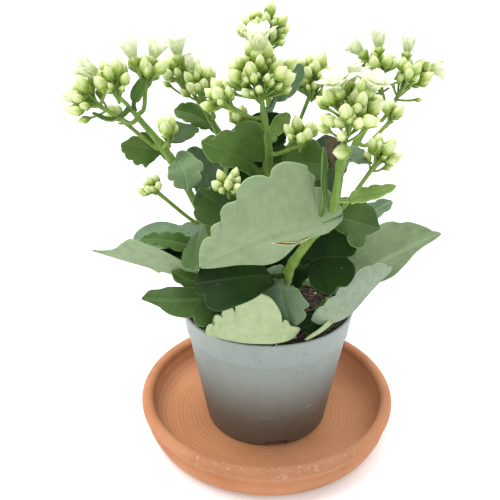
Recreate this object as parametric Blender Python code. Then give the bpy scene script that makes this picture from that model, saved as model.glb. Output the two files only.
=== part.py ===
"""A potted kalanchoe in bud, with its plastic pot and its clay saucer.

The plant stands in peat-based mix in a 10.5 cm nursery pot, and the pot stands on the saucer.
Sizes in this file are millimetres; MM turns them into Blender's metres.
The origin is the centre of the saucer's flat underside, +Z is up and -Y is the front.
"""

import math
import random

import bmesh
import bpy
from mathutils import Vector

MM = 0.001
GAP = 0.35                      # clearance between pieces that touch

# Saucer: a turned clay dish with a rolled lip.
SAUCER_FOOT_RADIUS = 70.0
SAUCER_FLOOR = 5.2              # height of its inner floor
SAUCER_LIP_RADIUS = 76.8        # centre line of the rolled lip
SAUCER_LIP_HEIGHT = 20.5
SAUCER_LIP_ROLL = 3.7           # radius of the roll
SAUCER_SIDES = 44

# Pot: a thin moulded plastic pot, with a taller band under its rim.
POT_BASE = SAUCER_FLOOR + GAP
POT_HEIGHT = 79.8
POT_TOP = POT_BASE + POT_HEIGHT
POT_RIM_RADIUS = 52.5
POT_SHOULDER_RADIUS = 49.0      # just under the band
POT_FOOT_RADIUS = 38.8
POT_BAND = 17.0                 # height of the band
POT_WALL = 1.4
POT_PLATE = POT_BASE + 3.5      # underside of the raised bottom plate
POT_SIDES = 40
NOTCH_WIDTH = 14.0
NOTCH_TURN = 8.0                # the notches sit this many degrees round from the front
NOTCH_COUNT = 4
DRAIN_RADIUS = 3.5
DRAIN_CIRCLE = 24.0

# Potting mix.
MIX_TOP = POT_TOP - 8.0
MIX_SIDES = 26
ROOT_DEPTH = 15.0               # how deep each stem goes into the mix

# Plant.
STEM_SIDES = 7
STALK_SIDES = 5
BUD_SIDES = 4                   # kalanchoe buds are four-angled
BUD_GIRTH = 0.36                # greatest radius of a bud over its length
HUB_CLEARANCE = 0.6             # the bud stalks start this far from the hub
LEAF_THICKNESS = 1.2
LEAF_ACROSS = 4                 # faces from margin to margin
LEAF_ALONG = 5                  # faces along the blade
ROUTE_STEPS = 10                # fine steps between the points of a route
GOLDEN_ANGLE = math.radians(137.5)
UP = Vector((0, 0, 1))

CLAY = (0.56, 0.26, 0.12)
POT_GREY = (0.40, 0.46, 0.43)
PEAT = (0.035, 0.022, 0.014)
STEM_GREEN = (0.13, 0.24, 0.04)
LEAF_GREEN = (0.06, 0.14, 0.03)
LEAF_DARK = (0.012, 0.04, 0.01)
LEAF_PALE = (0.34, 0.46, 0.25)
LEAF_BLUE = (0.09, 0.16, 0.08)
BUD_GREEN = (0.50, 0.62, 0.20)


# ---- scene, materials and small helpers -------------------------------------------------------

def clear_scene():
    for obj in list(bpy.data.objects):
        bpy.data.objects.remove(obj, do_unlink=True)


def finish(name, colour, roughness):
    material = bpy.data.materials.new(name + "_finish")
    material.use_nodes = True
    shader = material.node_tree.nodes["Principled BSDF"]
    shader.inputs["Base Color"].default_value = (*colour, 1.0)
    shader.inputs["Roughness"].default_value = roughness
    shader.inputs["Metallic"].default_value = 0.0
    return material


def add_object(name, bm, colour=None, roughness=0.6, smooth_angle=50):
    """Turns a bmesh in millimetres into a named object in metres."""
    bmesh.ops.recalc_face_normals(bm, faces=bm.faces)
    bmesh.ops.scale(bm, vec=(MM, MM, MM), verts=bm.verts)
    mesh = bpy.data.meshes.new(name)
    bm.to_mesh(mesh)
    bm.free()
    mesh.shade_smooth()
    mesh.set_sharp_from_angle(angle=math.radians(smooth_angle))
    if colour:
        mesh.materials.append(finish(name, colour, roughness))
    obj = bpy.data.objects.new(name, mesh)
    bpy.context.scene.collection.objects.link(obj)
    return obj


def make_helper(obj):
    """A cutter or an operand: it is never part of the built object."""
    obj.hide_render = True
    obj.display_type = "WIRE"
    return obj


def boolean(target, operation, operand):
    modifier = target.modifiers.new(operation.lower(), "BOOLEAN")
    modifier.operation = operation
    modifier.solver = "EXACT"
    if isinstance(operand, bpy.types.Collection):
        modifier.operand_type = "COLLECTION"
        modifier.collection = operand
    else:
        modifier.object = operand


def turned(profile, sides):
    """Spins a closed half profile of (radius, height) points, which starts and ends on the axis."""
    bm = bmesh.new()
    rings = []
    for radius, height in profile:
        if radius == 0:
            rings.append([bm.verts.new((0, 0, height))])
            continue
        angles = [math.tau * k / sides for k in range(sides)]
        rings.append([bm.verts.new((radius * math.cos(a), radius * math.sin(a), height)) for a in angles])
    for low, high in zip(rings, rings[1:]):
        for k in range(sides):
            corners = [low[k % len(low)], low[(k + 1) % len(low)]]
            corners += [high[(k + 1) % len(high)], high[k % len(high)]]
            bm.faces.new(list(dict.fromkeys(corners)))
    return bm


def arc(centre_radius, centre_height, roll, start, end, steps):
    """Points of a profile along a round, from one angle to another in degrees."""
    points = []
    for k in range(steps + 1):
        angle = math.radians(start + (end - start) * k / steps)
        points.append((centre_radius + roll * math.cos(angle), centre_height + roll * math.sin(angle)))
    return points


def between(first, second, start, end, t):
    return first + (second - first) * ((t - start) / (end - start))


def even_route(route, samples):
    """The same path with evenly spaced points."""
    lengths = [0.0]
    for a, b in zip(route, route[1:]):
        lengths.append(lengths[-1] + (b - a).length)
    even = []
    k = 0
    for n in range(samples + 1):
        distance = lengths[-1] * n / samples
        while k < len(route) - 2 and lengths[k + 1] < distance:
            k += 1
        even.append(between(route[k], route[k + 1], lengths[k], lengths[k + 1], distance))
    return even


def smooth_route(points, samples):
    """A centripetal Catmull-Rom curve through the points, as evenly spaced samples."""
    knots = [Vector(p) for p in points]
    knots = [2 * knots[0] - knots[1]] + knots + [2 * knots[-1] - knots[-2]]
    times = [0.0]
    for a, b in zip(knots, knots[1:]):
        times.append(times[-1] + (b - a).length ** 0.5)
    route = [knots[1]]
    for span in range(1, len(knots) - 2):
        p, s = knots[span - 1:span + 3], times[span - 1:span + 3]
        for step in range(1, ROUTE_STEPS + 1):
            t = s[1] + (s[2] - s[1]) * step / ROUTE_STEPS
            a = [between(p[i], p[i + 1], s[i], s[i + 1], t) for i in range(3)]
            b = [between(a[i], a[i + 1], s[i], s[i + 2], t) for i in range(2)]
            route.append(between(b[0], b[1], s[1], s[2], t))
    return even_route(route, samples)


def tangents(route):
    last = len(route) - 1
    return [(route[min(k + 1, last)] - route[max(k - 1, 0)]).normalized() for k in range(last + 1)]


def ring_frame(direction, previous=None):
    """Two directions square to a third; with a previous one the ring turns as little as it can."""
    guide = previous if previous else Vector((1, 0, 0.01))
    if abs(guide.dot(direction)) > 0.95:
        guide = Vector((0, 1, 0))
    first = (guide - direction * guide.dot(direction)).normalized()
    return first, direction.cross(first)


def tube(route, radii, sides):
    """A closed round bar along a route."""
    bm = bmesh.new()
    rings = []
    first = None
    for point, direction, radius in zip(route, tangents(route), radii):
        first, second = ring_frame(direction, first)
        ring = []
        for k in range(sides):
            angle = math.tau * k / sides
            ring.append(bm.verts.new(point + radius * (math.cos(angle) * first + math.sin(angle) * second)))
        rings.append(ring)
    for low, high in zip(rings, rings[1:]):
        for k in range(sides):
            bm.faces.new((low[k], low[(k + 1) % sides], high[(k + 1) % sides], high[k]))
    bm.faces.new(list(reversed(rings[0])))
    bm.faces.new(rings[-1])
    return bm


def ramp(start, end, count):
    return [start + (end - start) * k / (count - 1) for k in range(count)]


# ---- saucer, pot and mix ----------------------------------------------------------------------

def build_saucer():
    lip = arc(SAUCER_LIP_RADIUS, SAUCER_LIP_HEIGHT, SAUCER_LIP_ROLL, -55, 190, 6)
    outside = [(0, 0), (SAUCER_FOOT_RADIUS, 0), (73.4, 1.4), (76.0, 7.0), (77.6, 13.5), (77.7, 16.0)]
    inside = [(72.6, 16.4), (70.4, 11.2), (66.4, 7.4), (61.0, 5.7), (54.0, SAUCER_FLOOR), (0, SAUCER_FLOOR)]
    add_object("saucer", turned(outside + lip + inside, SAUCER_SIDES), CLAY, 0.85)


def pot_profile():
    shoulder = POT_TOP - POT_BAND
    outside = [(0, POT_PLATE), (POT_FOOT_RADIUS - 4.6, POT_PLATE), (POT_FOOT_RADIUS - 4.0, POT_BASE)]
    outside += [(POT_FOOT_RADIUS - 1.8, POT_BASE), (POT_FOOT_RADIUS - 0.5, POT_BASE + 0.8)]
    outside += [(POT_FOOT_RADIUS, POT_BASE + 2.4), (POT_SHOULDER_RADIUS, shoulder)]
    outside += [(POT_SHOULDER_RADIUS + 0.9, shoulder + 0.8), (POT_RIM_RADIUS, POT_TOP - 0.6)]
    inside = [(POT_RIM_RADIUS - 0.4, POT_TOP), (POT_RIM_RADIUS - POT_WALL, POT_TOP)]
    inside += [(POT_SHOULDER_RADIUS + 0.9 - POT_WALL, shoulder + 1.2)]
    inside += [(POT_SHOULDER_RADIUS - POT_WALL, shoulder - 0.6)]
    inside += [(POT_FOOT_RADIUS - POT_WALL, POT_PLATE + 3.0), (POT_FOOT_RADIUS - 2.8, POT_PLATE + 1.6)]
    inside += [(0, POT_PLATE + 1.6)]
    return outside + inside


def build_pot():
    pot = add_object("pot", turned(pot_profile(), POT_SIDES), POT_GREY, 0.5)
    for k in range(NOTCH_COUNT):
        angle = math.radians(-90 + NOTCH_TURN + 360 * k / NOTCH_COUNT)
        outward = Vector((math.cos(angle), math.sin(angle), 0))
        along = Vector((-outward.y, outward.x, 0))
        middle = outward * (POT_FOOT_RADIUS - 2)
        notch = bmesh.new()
        corners = []
        for height in (POT_BASE - 2, POT_PLATE - 0.1):
            for depth, side in ((-5, -1), (6, -1), (6, 1), (-5, 1)):
                point = middle + outward * depth + along * side * NOTCH_WIDTH / 2
                corners.append(notch.verts.new((point.x, point.y, height)))
        bmesh.ops.convex_hull(notch, input=corners)
        boolean(pot, "DIFFERENCE", make_helper(add_object(f"notch_cutter_{k}", notch)))
        centre = outward * DRAIN_CIRCLE
        drill = [centre + UP * (POT_PLATE - 1), centre + UP * (POT_PLATE + 3)]
        drain = tube(drill, [DRAIN_RADIUS, DRAIN_RADIUS], 12)
        boolean(pot, "DIFFERENCE", make_helper(add_object(f"drain_cutter_{k}", drain)))


def build_potting_mix(stems):
    clear = POT_WALL + 0.45
    shoulder = POT_TOP - POT_BAND
    floor = POT_PLATE + 1.6 + GAP
    profile = [(0, floor), (POT_FOOT_RADIUS - 3.4, floor), (POT_FOOT_RADIUS - clear, floor + 1.8)]
    profile += [(POT_SHOULDER_RADIUS - clear, shoulder - 0.4)]
    profile += [(POT_SHOULDER_RADIUS + 0.6 - clear, shoulder + 1.6)]
    profile += [(POT_SHOULDER_RADIUS + 1.2 - clear, MIX_TOP - 1.5), (44.0, MIX_TOP), (22.0, MIX_TOP + 0.8)]
    profile += [(0, MIX_TOP + 1.0)]
    mix = add_object("potting_mix", turned(profile, MIX_SIDES), PEAT, 0.95)
    for stem in stems:
        sunk = [point for point in stem.route if point.z < MIX_TOP + 16]
        route = [sunk[0] - UP * GAP] + sunk
        pocket = tube(route, [stem.radii[0] + GAP + 0.2] * len(route), STEM_SIDES)
        boolean(mix, "DIFFERENCE", make_helper(add_object(stem.name + "_pocket_cutter", pocket)))


# ---- stems ------------------------------------------------------------------------------------

class Stem:
    """A shoot's main stem: it rises straight out of the mix, then follows its route."""

    def __init__(self, name, foot, points, thick, thin):
        x, y = foot
        self.name = name
        rise = [(x, y, MIX_TOP - ROOT_DEPTH), (x, y, MIX_TOP + 3)]
        self.route = smooth_route(rise + points, 4 * (len(points) + 1))
        self.radii = ramp(thick, thin, len(self.route))

    def build(self):
        add_object(self.name, tube(self.route, self.radii, STEM_SIDES), STEM_GREEN, 0.45)

    def at_height(self, height):
        """Axis point, direction and radius where the stem passes a height."""
        heights = [point.z for point in self.route]
        k = max(i for i, z in enumerate(heights[:-1]) if z <= height)
        share = (height - heights[k]) / (heights[k + 1] - heights[k])
        point = self.route[k].lerp(self.route[k + 1], share)
        direction = (self.route[k + 1] - self.route[k]).normalized()
        return point, direction, self.radii[k]

    def side_start(self, height, towards):
        """Two points that lead square off the stem's side, towards a target."""
        point, direction, radius = self.at_height(height)
        aim = Vector(towards) - point
        outward = (aim - direction * aim.dot(direction)).normalized()
        return [point + outward * (radius + 3 * GAP), point + outward * (radius + 8 * GAP)]

    def tip_start(self):
        """Two points that lead on from the stem's upper end."""
        direction = (self.route[-1] - self.route[-2]).normalized()
        return [self.route[-1] + direction * 2 * GAP, self.route[-1] + direction * 6 * GAP]


STEM_CENTRE = Stem("stem_centre", (3, -8),
                   [(1, -18, 120), (-1, -26, 155), (-2, -29, 185), (-5, -30, 211)],
                   thick=2.6, thin=1.9)
STEM_RIGHT = Stem("stem_right", (12, -21),
                  [(8, -34, 106), (10, -39, 124), (20, -46, 145), (29, -51, 163),
                   (31, -58, 190), (32, -60, 200)],
                  thick=2.9, thin=1.9)
STEM_LEFT = Stem("stem_left", (-13, -5),
                 [(-25, -9, 115), (-40, -12, 150), (-54, -15, 180), (-72, -15, 204)],
                 thick=2.5, thin=1.7)
STEM_BACK_LEFT = Stem("stem_back_left", (-10, 12),
                      [(-17, 13, 120), (-22, 12, 160), (-28, 13, 184), (-41, 14, 205)],
                      thick=2.2, thin=1.5)
STEM_BACK_RIGHT = Stem("stem_back_right", (16, 6),
                       [(26, -1, 115), (34, -5, 150), (46, -1, 180), (61, 6, 202)],
                       thick=2.4, thin=1.6)
STEM_BEHIND = Stem("stem_behind", (3, 14),
                   [(6, 14, 120), (7, 10, 165), (0, 10, 200), (-2, 16, 232)],
                   thick=2.3, thin=1.5)
STEMS = [STEM_CENTRE, STEM_RIGHT, STEM_LEFT, STEM_BACK_LEFT, STEM_BACK_RIGHT, STEM_BEHIND]


# ---- leaves -----------------------------------------------------------------------------------

def scallop(angle, lobes, depth):
    """How far the margin is pulled in at an angle round the blade: round lobes, sharp notches."""
    place = (angle / math.tau * lobes + 0.5) % 1.0
    return depth * abs(2 * place - 1) ** 2.5


def blade_outline(turn, side, length, width, skew, point, lobes, notch):
    """A point of the flat blade, along and across, from its turn (0 base, 1 tip) and side (-1 to 1)."""
    phi = math.pi * turn
    along = length * ((1 - math.cos(phi)) / 2) ** skew
    across = 0.5 * width * math.sin(phi) ** 0.85 * (1 - point * turn ** 2) * side
    middle = 0.5 * length
    reach = min(math.hypot((along - middle) / middle, across / (0.5 * width)), 1)
    pull = 1 - scallop(math.atan2(across, along - middle), lobes, notch) * reach ** 4
    if along < 0.25 * length:
        pull = 1
    return middle + (along - middle) * pull, across * pull


def build_leaf(name, start, points, width, face, colour=LEAF_GREEN, lobes=9, notch=0.12, folds=(12, 12),
               halves=(1, 1), stalk=0.18, skew=1.0, point=0.0):
    """A fleshy leaf along a midrib.

    face is the way its upper side looks. folds are the angles, in degrees, by which its two halves
    rise from flat, and halves are how much of the full width each half has. stalk is the share of
    the midrib that is leaf stalk. A skew over 1 moves the widest place towards the stalk, and
    point narrows the tip.
    """
    samples = 24
    rib = smooth_route(list(start) + [Vector(p) for p in points], samples)
    ways = tangents(rib)
    length = sum((b - a).length for a, b in zip(rib, rib[1:]))
    stalk_length = stalk * length
    blade_length = length - stalk_length
    stalk_width = max(2.2, 0.07 * width)
    rows = [(0.0, None), (0.6 * stalk_length, None)]
    rows += [(None, 0.1 + 0.84 * k / LEAF_ALONG) for k in range(LEAF_ALONG + 1)]
    bm = bmesh.new()
    grid = []
    for on_stalk, turn in rows:
        row = []
        for j in range(LEAF_ACROSS + 1):
            side = 2 * j / LEAF_ACROSS - 1
            half = 0 if side > 0 else 1
            if turn is None:
                along, across = on_stalk, 0.5 * stalk_width * side
            else:
                along, across = blade_outline(turn, side, blade_length, width, skew, point, lobes, notch)
                along += stalk_length
                across *= halves[half]
            place = min(max(along / length, 0), 1) * samples
            k = min(int(place), samples - 1)
            middle = rib[k].lerp(rib[k + 1], place - k)
            way = ways[k].lerp(ways[k + 1], place - k).normalized()
            sideways = Vector(face).cross(way).normalized()
            upward = way.cross(sideways)
            fold = math.radians(folds[half])
            rise = abs(across) * math.sin(fold)
            row.append(bm.verts.new(middle + sideways * across * math.cos(fold) + upward * rise))
        grid.append(row)
    for low, high in zip(grid, grid[1:]):
        for j in range(LEAF_ACROSS):
            bm.faces.new((low[j], low[j + 1], high[j + 1], high[j]))
    leaf = add_object(name, bm, colour, 0.5, 180)
    body = leaf.modifiers.new("flesh", "SOLIDIFY")
    body.thickness = LEAF_THICKNESS * MM
    body.offset = 0.0


def build_low_leaves():
    """The big lower leaves: some lie over the rim and show their pale undersides."""
    leaf, right, left, centre = build_leaf, STEM_RIGHT, STEM_LEFT, STEM_CENTRE
    leaf("leaf_front_broad", right.side_start(156, (10, -80, 156)),
         [(14, -61, 156), (-6, -71, 154), (-33, -78, 144)], width=64, face=(0.05, 0.92, -0.2),
         colour=LEAF_PALE, lobes=10, notch=0.1, folds=(2, 60), halves=(1, 0.5), stalk=0.04, skew=1.1)
    leaf("leaf_front_fan", right.side_start(83.5, (20, -60, 84)),
         [(15, -40, 87.5), (5, -50.5, 88.5), (-14, -52.5, 89), (-34, -48, 90.5)], width=56,
         face=(0.05, 0.8, 0.6), colour=LEAF_PALE, lobes=15, notch=0.14, folds=(22, 60), halves=(1, 0.3),
         stalk=0.3)
    leaf("leaf_right_folded", right.side_start(95, (30, -36, 95)),
         [(24, -38, 92), (40, -41, 97), (54, -36, 110), (66, -30, 121)], width=34,
         face=(-0.45, 0.6, 0.65), colour=LEAF_PALE, lobes=11, notch=0.1, folds=(5, 45), halves=(0.3, 1),
         stalk=0.2)
    leaf("leaf_right_large", STEM_BACK_RIGHT.side_start(98, (60, -20, 100)),
         [(50, -12, 108), (76, -9, 121), (100, -2, 130)], width=46, face=(-0.25, -0.5, 0.8),
         colour=LEAF_BLUE, lobes=11, notch=0.1, stalk=0.2, skew=1.1, point=0.25)
    leaf("leaf_left_drooping", left.side_start(108, (-90, -40, 108)),
         [(-44, -25, 114), (-72, -18, 118), (-102, -6, 121)], width=50, face=(0, 0.45, 0.9),
         colour=LEAF_PALE, lobes=11, notch=0.1, folds=(34, 40), halves=(1, 0.35), stalk=0.14, skew=1.05,
         point=0.35)
    leaf("leaf_left_behind", left.side_start(119, (-60, 20, 119)),
         [(-44, 9, 122), (-62, 14, 122.5), (-84, 16, 117)], width=40, face=(0, -0.25, 0.97),
         colour=LEAF_BLUE, lobes=11, notch=0.1)
    leaf("leaf_lower_left", left.side_start(92, (-30, -50, 92)),
         [(-28, -33, 104), (-48, -40, 106.5), (-69, -39, 107)], width=32, face=(-0.1, -0.8, 0.55),
         notch=0.16, folds=(8, -8), stalk=0.25, skew=1.2, point=0.2)
    leaf("leaf_front_dark", right.side_start(121, (-30, -60, 121)),
         [(-5, -50, 126), (-21, -57, 127.5), (-38, -58, 125)], width=36, face=(0, -0.55, 0.8),
         colour=LEAF_DARK, notch=0.1)
    leaf("leaf_front_under", centre.side_start(104, (-20, -60, 104)),
         [(-9, -31, 108), (-20, -40, 111), (-34, -46, 110)], width=25, face=(0, -0.55, 0.8),
         colour=LEAF_DARK, notch=0.1)
    leaf("leaf_node_down", right.side_start(116.5, (8, -80, 116.5)),
         [(6, -45, 117), (6.5, -48, 111.5), (10.5, -48, 98)], width=29, face=(-0.25, -0.65, 0.7),
         colour=LEAF_BLUE, lobes=8, notch=0.2)
    leaf("leaf_two_lobed", right.side_start(129, (60, -45, 129)),
         [(25, -44, 133), (35, -47, 135), (46, -47, 134)], width=44, face=(-0.1, -0.92, 0.38),
         colour=LEAF_DARK, lobes=6, notch=0.16, folds=(6, 6), stalk=0.2)
    leaf("leaf_back_low_left", STEM_BACK_LEFT.side_start(100, (-40, 60, 100)),
         [(-28, 32, 108), (-42, 52, 112), (-56, 74, 104)], width=46, face=(0, 0.1, 1))
    leaf("leaf_back_low_right", STEM_BEHIND.side_start(98, (40, 60, 98)),
         [(20, 34, 106), (34, 56, 110), (46, 80, 100)], width=48, face=(0, 0.1, 1), colour=LEAF_BLUE)


def build_high_leaves():
    """The smaller leaves of the upper nodes."""
    leaf, right, left, centre = build_leaf, STEM_RIGHT, STEM_LEFT, STEM_CENTRE
    leaf("leaf_edge_on", left.side_start(140, (-40, -60, 140)),
         [(-36, -34, 146), (-37.5, -44, 140), (-40.5, -48.5, 129)], width=22, face=(-0.8, -0.5, 0.3),
         lobes=8, notch=0.1, folds=(8, 8), stalk=0.3)
    leaf("leaf_upper_left", centre.side_start(149, (-60, -50, 149)),
         [(-17, -33, 154), (-27, -39, 161), (-36, -41, 169)], width=25, face=(-0.3, -0.7, 0.6), lobes=7,
         notch=0.16, folds=(8, 8), stalk=0.3)
    leaf("leaf_right_middle", right.side_start(150, (70, -30, 150)),
         [(35, -45, 154), (44, -46, 152), (55, -45, 148)], width=33, face=(0, -0.75, 0.65), lobes=8)
    leaf("leaf_right_narrow", right.side_start(167, (70, -50, 167)),
         [(40, -53, 169), (48, -54, 171), (58, -52, 174)], width=11, face=(0, -0.4, 0.9), notch=0.16,
         folds=(10, 10), stalk=0.15, skew=1.2, point=0.4)
    leaf("leaf_right_upper", right.side_start(186, (60, -20, 186)),
         [(38, -49, 187), (42, -43, 186), (47, -37, 183)], width=13, face=(0.1, -0.6, 0.75),
         colour=LEAF_BLUE, lobes=7, notch=0.14)
    leaf("leaf_centre_right", centre.side_start(177, (40, -34, 177)),
         [(8, -32, 180), (16, -35, 181), (27, -37, 179.5)], width=25, face=(0, -0.8, 0.6), lobes=8)
    leaf("leaf_centre_left", centre.side_start(175, (-40, -36, 175)),
         [(-11, -32, 180), (-20, -36, 185.5), (-34, -38, 192)], width=36, face=(0.1, -0.9, 0.4),
         lobes=8, notch=0.16, folds=(10, 24), halves=(1, 0.7), stalk=0.28)
    leaf("leaf_centre_upright", centre.side_start(184, (-4, 0, 184)),
         [(-2, -20, 187), (-4, -16, 193), (-6, -13, 201)], width=28, face=(0, -0.95, 0.3),
         colour=LEAF_DARK, lobes=8, folds=(4, 4), stalk=0.2)
    leaf("leaf_left_outer", left.side_start(178, (-70, 5, 178)),
         [(-59, -8, 179.5), (-68, -9, 182), (-79, -10, 184)], width=25, face=(0.1, -0.9, 0.4), lobes=8,
         notch=0.14, stalk=0.25)
    leaf("leaf_left_pale", left.side_start(176, (-40, -50, 176)),
         [(-47, -27, 179.5), (-43.5, -35, 176), (-41.5, -38, 164)], width=25, face=(0, -0.85, 0.5),
         colour=LEAF_PALE, lobes=8, notch=0.16, folds=(5, 5), stalk=0.3, skew=0.8)
    leaf("leaf_left_dark", left.side_start(184, (-45, 20, 184)),
         [(-51, -3, 186), (-48, 4, 188), (-44, 11, 190)], width=22, face=(-0.2, -0.7, 0.7),
         colour=LEAF_DARK, lobes=8)
    leaf("leaf_left_low", left.side_start(170, (-20, 10, 170)),
         [(-43, -4, 173), (-38, 0, 168), (-33, 2, 155)], width=24, face=(0.3, -0.9, 0.2),
         colour=LEAF_BLUE, lobes=8)
    leaf("leaf_back_left_small", STEM_BACK_LEFT.side_start(186, (-50, 50, 186)),
         [(-36, 19, 190), (-44, 22, 194), (-54, 23, 196)], width=14, face=(0, -0.7, 0.7), lobes=7,
         notch=0.1)
    leaf("bract_centre", centre.side_start(205, (20, -12, 205)),
         [(2, -23, 210), (8, -18, 216), (15, -15, 225)], width=11, face=(0.3, -0.9, 0.2),
         colour=LEAF_BLUE, lobes=7, notch=0.1, folds=(10, 10), stalk=0.25)
    leaf("leaf_back_scarred", STEM_BACK_RIGHT.side_start(156, (28, -30, 156)),
         [(31, -12, 166), (30, -14, 178), (29, -15, 190)], width=22, face=(0, -0.95, 0.2),
         colour=LEAF_DARK, lobes=8, notch=0.1)
    leaf("leaf_back_high_left", STEM_BACK_LEFT.side_start(150, (-40, 50, 150)),
         [(-30, 26, 156), (-38, 40, 158), (-46, 56, 152)], width=36, face=(-0.1, 0.2, 0.95))
    leaf("leaf_back_high_right", STEM_BEHIND.side_start(155, (40, 40, 155)),
         [(18, 22, 161), (30, 38, 164), (40, 56, 158)], width=38, face=(0.1, 0.2, 0.95))
    leaf("sprout", [Vector((26, -22, MIX_TOP + 2.0)), Vector((26.5, -22.5, 84))],
         [(28, -25, 89), (27, -31, 91)], width=13, face=(0, -0.5, 0.85), lobes=5, notch=0.2)


# ---- flower heads -----------------------------------------------------------------------------

def lofted(base, direction, rings, sides, flat=1.0):
    """A closed body along a direction, from (distance, radius) rings to a pointed end.

    flat squeezes the rings in the direction's upright plane, which turns a bud into a petal.
    """
    across = direction.cross(UP).normalized()
    over = direction.cross(across)
    bm = bmesh.new()
    loops = []
    for distance, radius in rings[:-1]:
        loop = []
        for k in range(sides):
            angle = math.tau * (k + 0.5) / sides
            offset = across * math.cos(angle) + over * math.sin(angle) * flat
            loop.append(bm.verts.new(base + direction * distance + offset * radius))
        loops.append(loop)
    tip = bm.verts.new(base + direction * rings[-1][0])
    for low, high in zip(loops, loops[1:]):
        for k in range(sides):
            bm.faces.new((low[k], low[(k + 1) % sides], high[(k + 1) % sides], high[k]))
    bm.faces.new(list(reversed(loops[0])))
    for k in range(sides):
        bm.faces.new((loops[-1][k], loops[-1][(k + 1) % sides], tip))
    return bm


def build_cyme(name, start, hub, axis, buds, reach, size, spread=70, seed=1, blooms=0, stalk=1.2):
    """One flower head: a stalk to its hub, and buds on short stalks that fan out round an axis.

    The first blooms of the buds are open flowers: four petals over a short tube.
    """
    chance = random.Random(seed)
    hub = Vector(hub)
    axis = Vector(axis).normalized()
    first, second = ring_frame(axis)
    route = smooth_route(list(start) + [hub], 4) + [hub + axis * stalk]
    head = add_object(name, tube(route, ramp(stalk, stalk * 1.1, len(route)), STALK_SIDES), BUD_GREEN, 0.5)
    pieces = bpy.data.collections.new(name + "_pieces")
    bpy.context.scene.collection.children.link(pieces)

    def keep(bm, label):
        piece = make_helper(add_object(f"{name}_{label}", bm))
        bpy.context.scene.collection.objects.unlink(piece)
        pieces.objects.link(piece)

    for k in range(buds):
        lean = math.acos(1 - (k + 0.3) / buds * (1 - math.cos(math.radians(spread))))
        turn = GOLDEN_ANGLE * k + chance.uniform(-0.25, 0.25)
        way = axis * math.cos(lean) + (first * math.cos(turn) + second * math.sin(turn)) * math.sin(lean)
        length = size * chance.uniform(0.85, 1.15)
        foot = reach * chance.uniform(0.75, 1.1)
        girth = BUD_GIRTH * length
        if k >= blooms:
            bud = [(HUB_CLEARANCE, 0.5), (foot, 0.7), (foot + 0.45 * length, girth), (foot + length, 0)]
            keep(lofted(hub, way, bud, BUD_SIDES), f"bud_{k}")
            continue
        flower_tube = [(HUB_CLEARANCE, 0.5), (foot, 0.7), (foot + 0.35 * length, 0.6 * girth)]
        flower_tube += [(foot + length, 0)]
        keep(lofted(hub, way, flower_tube, BUD_SIDES), f"tube_{k}")
        across, over = ring_frame(way)
        for petal in range(4):
            angle = math.radians(45 + 90 * petal)
            lift = (across * math.cos(angle) + over * math.sin(angle) + 0.75 * way).normalized()
            blade = [(0, 0.1 * length), (0.55 * length, 0.34 * length), (1.05 * length, 0)]
            throat = hub + way * (foot + 0.45 * length)
            keep(lofted(throat, lift, blade, sides=4, flat=0.35), f"petal_{k}_{petal}")
    boolean(head, "UNION", pieces)


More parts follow.
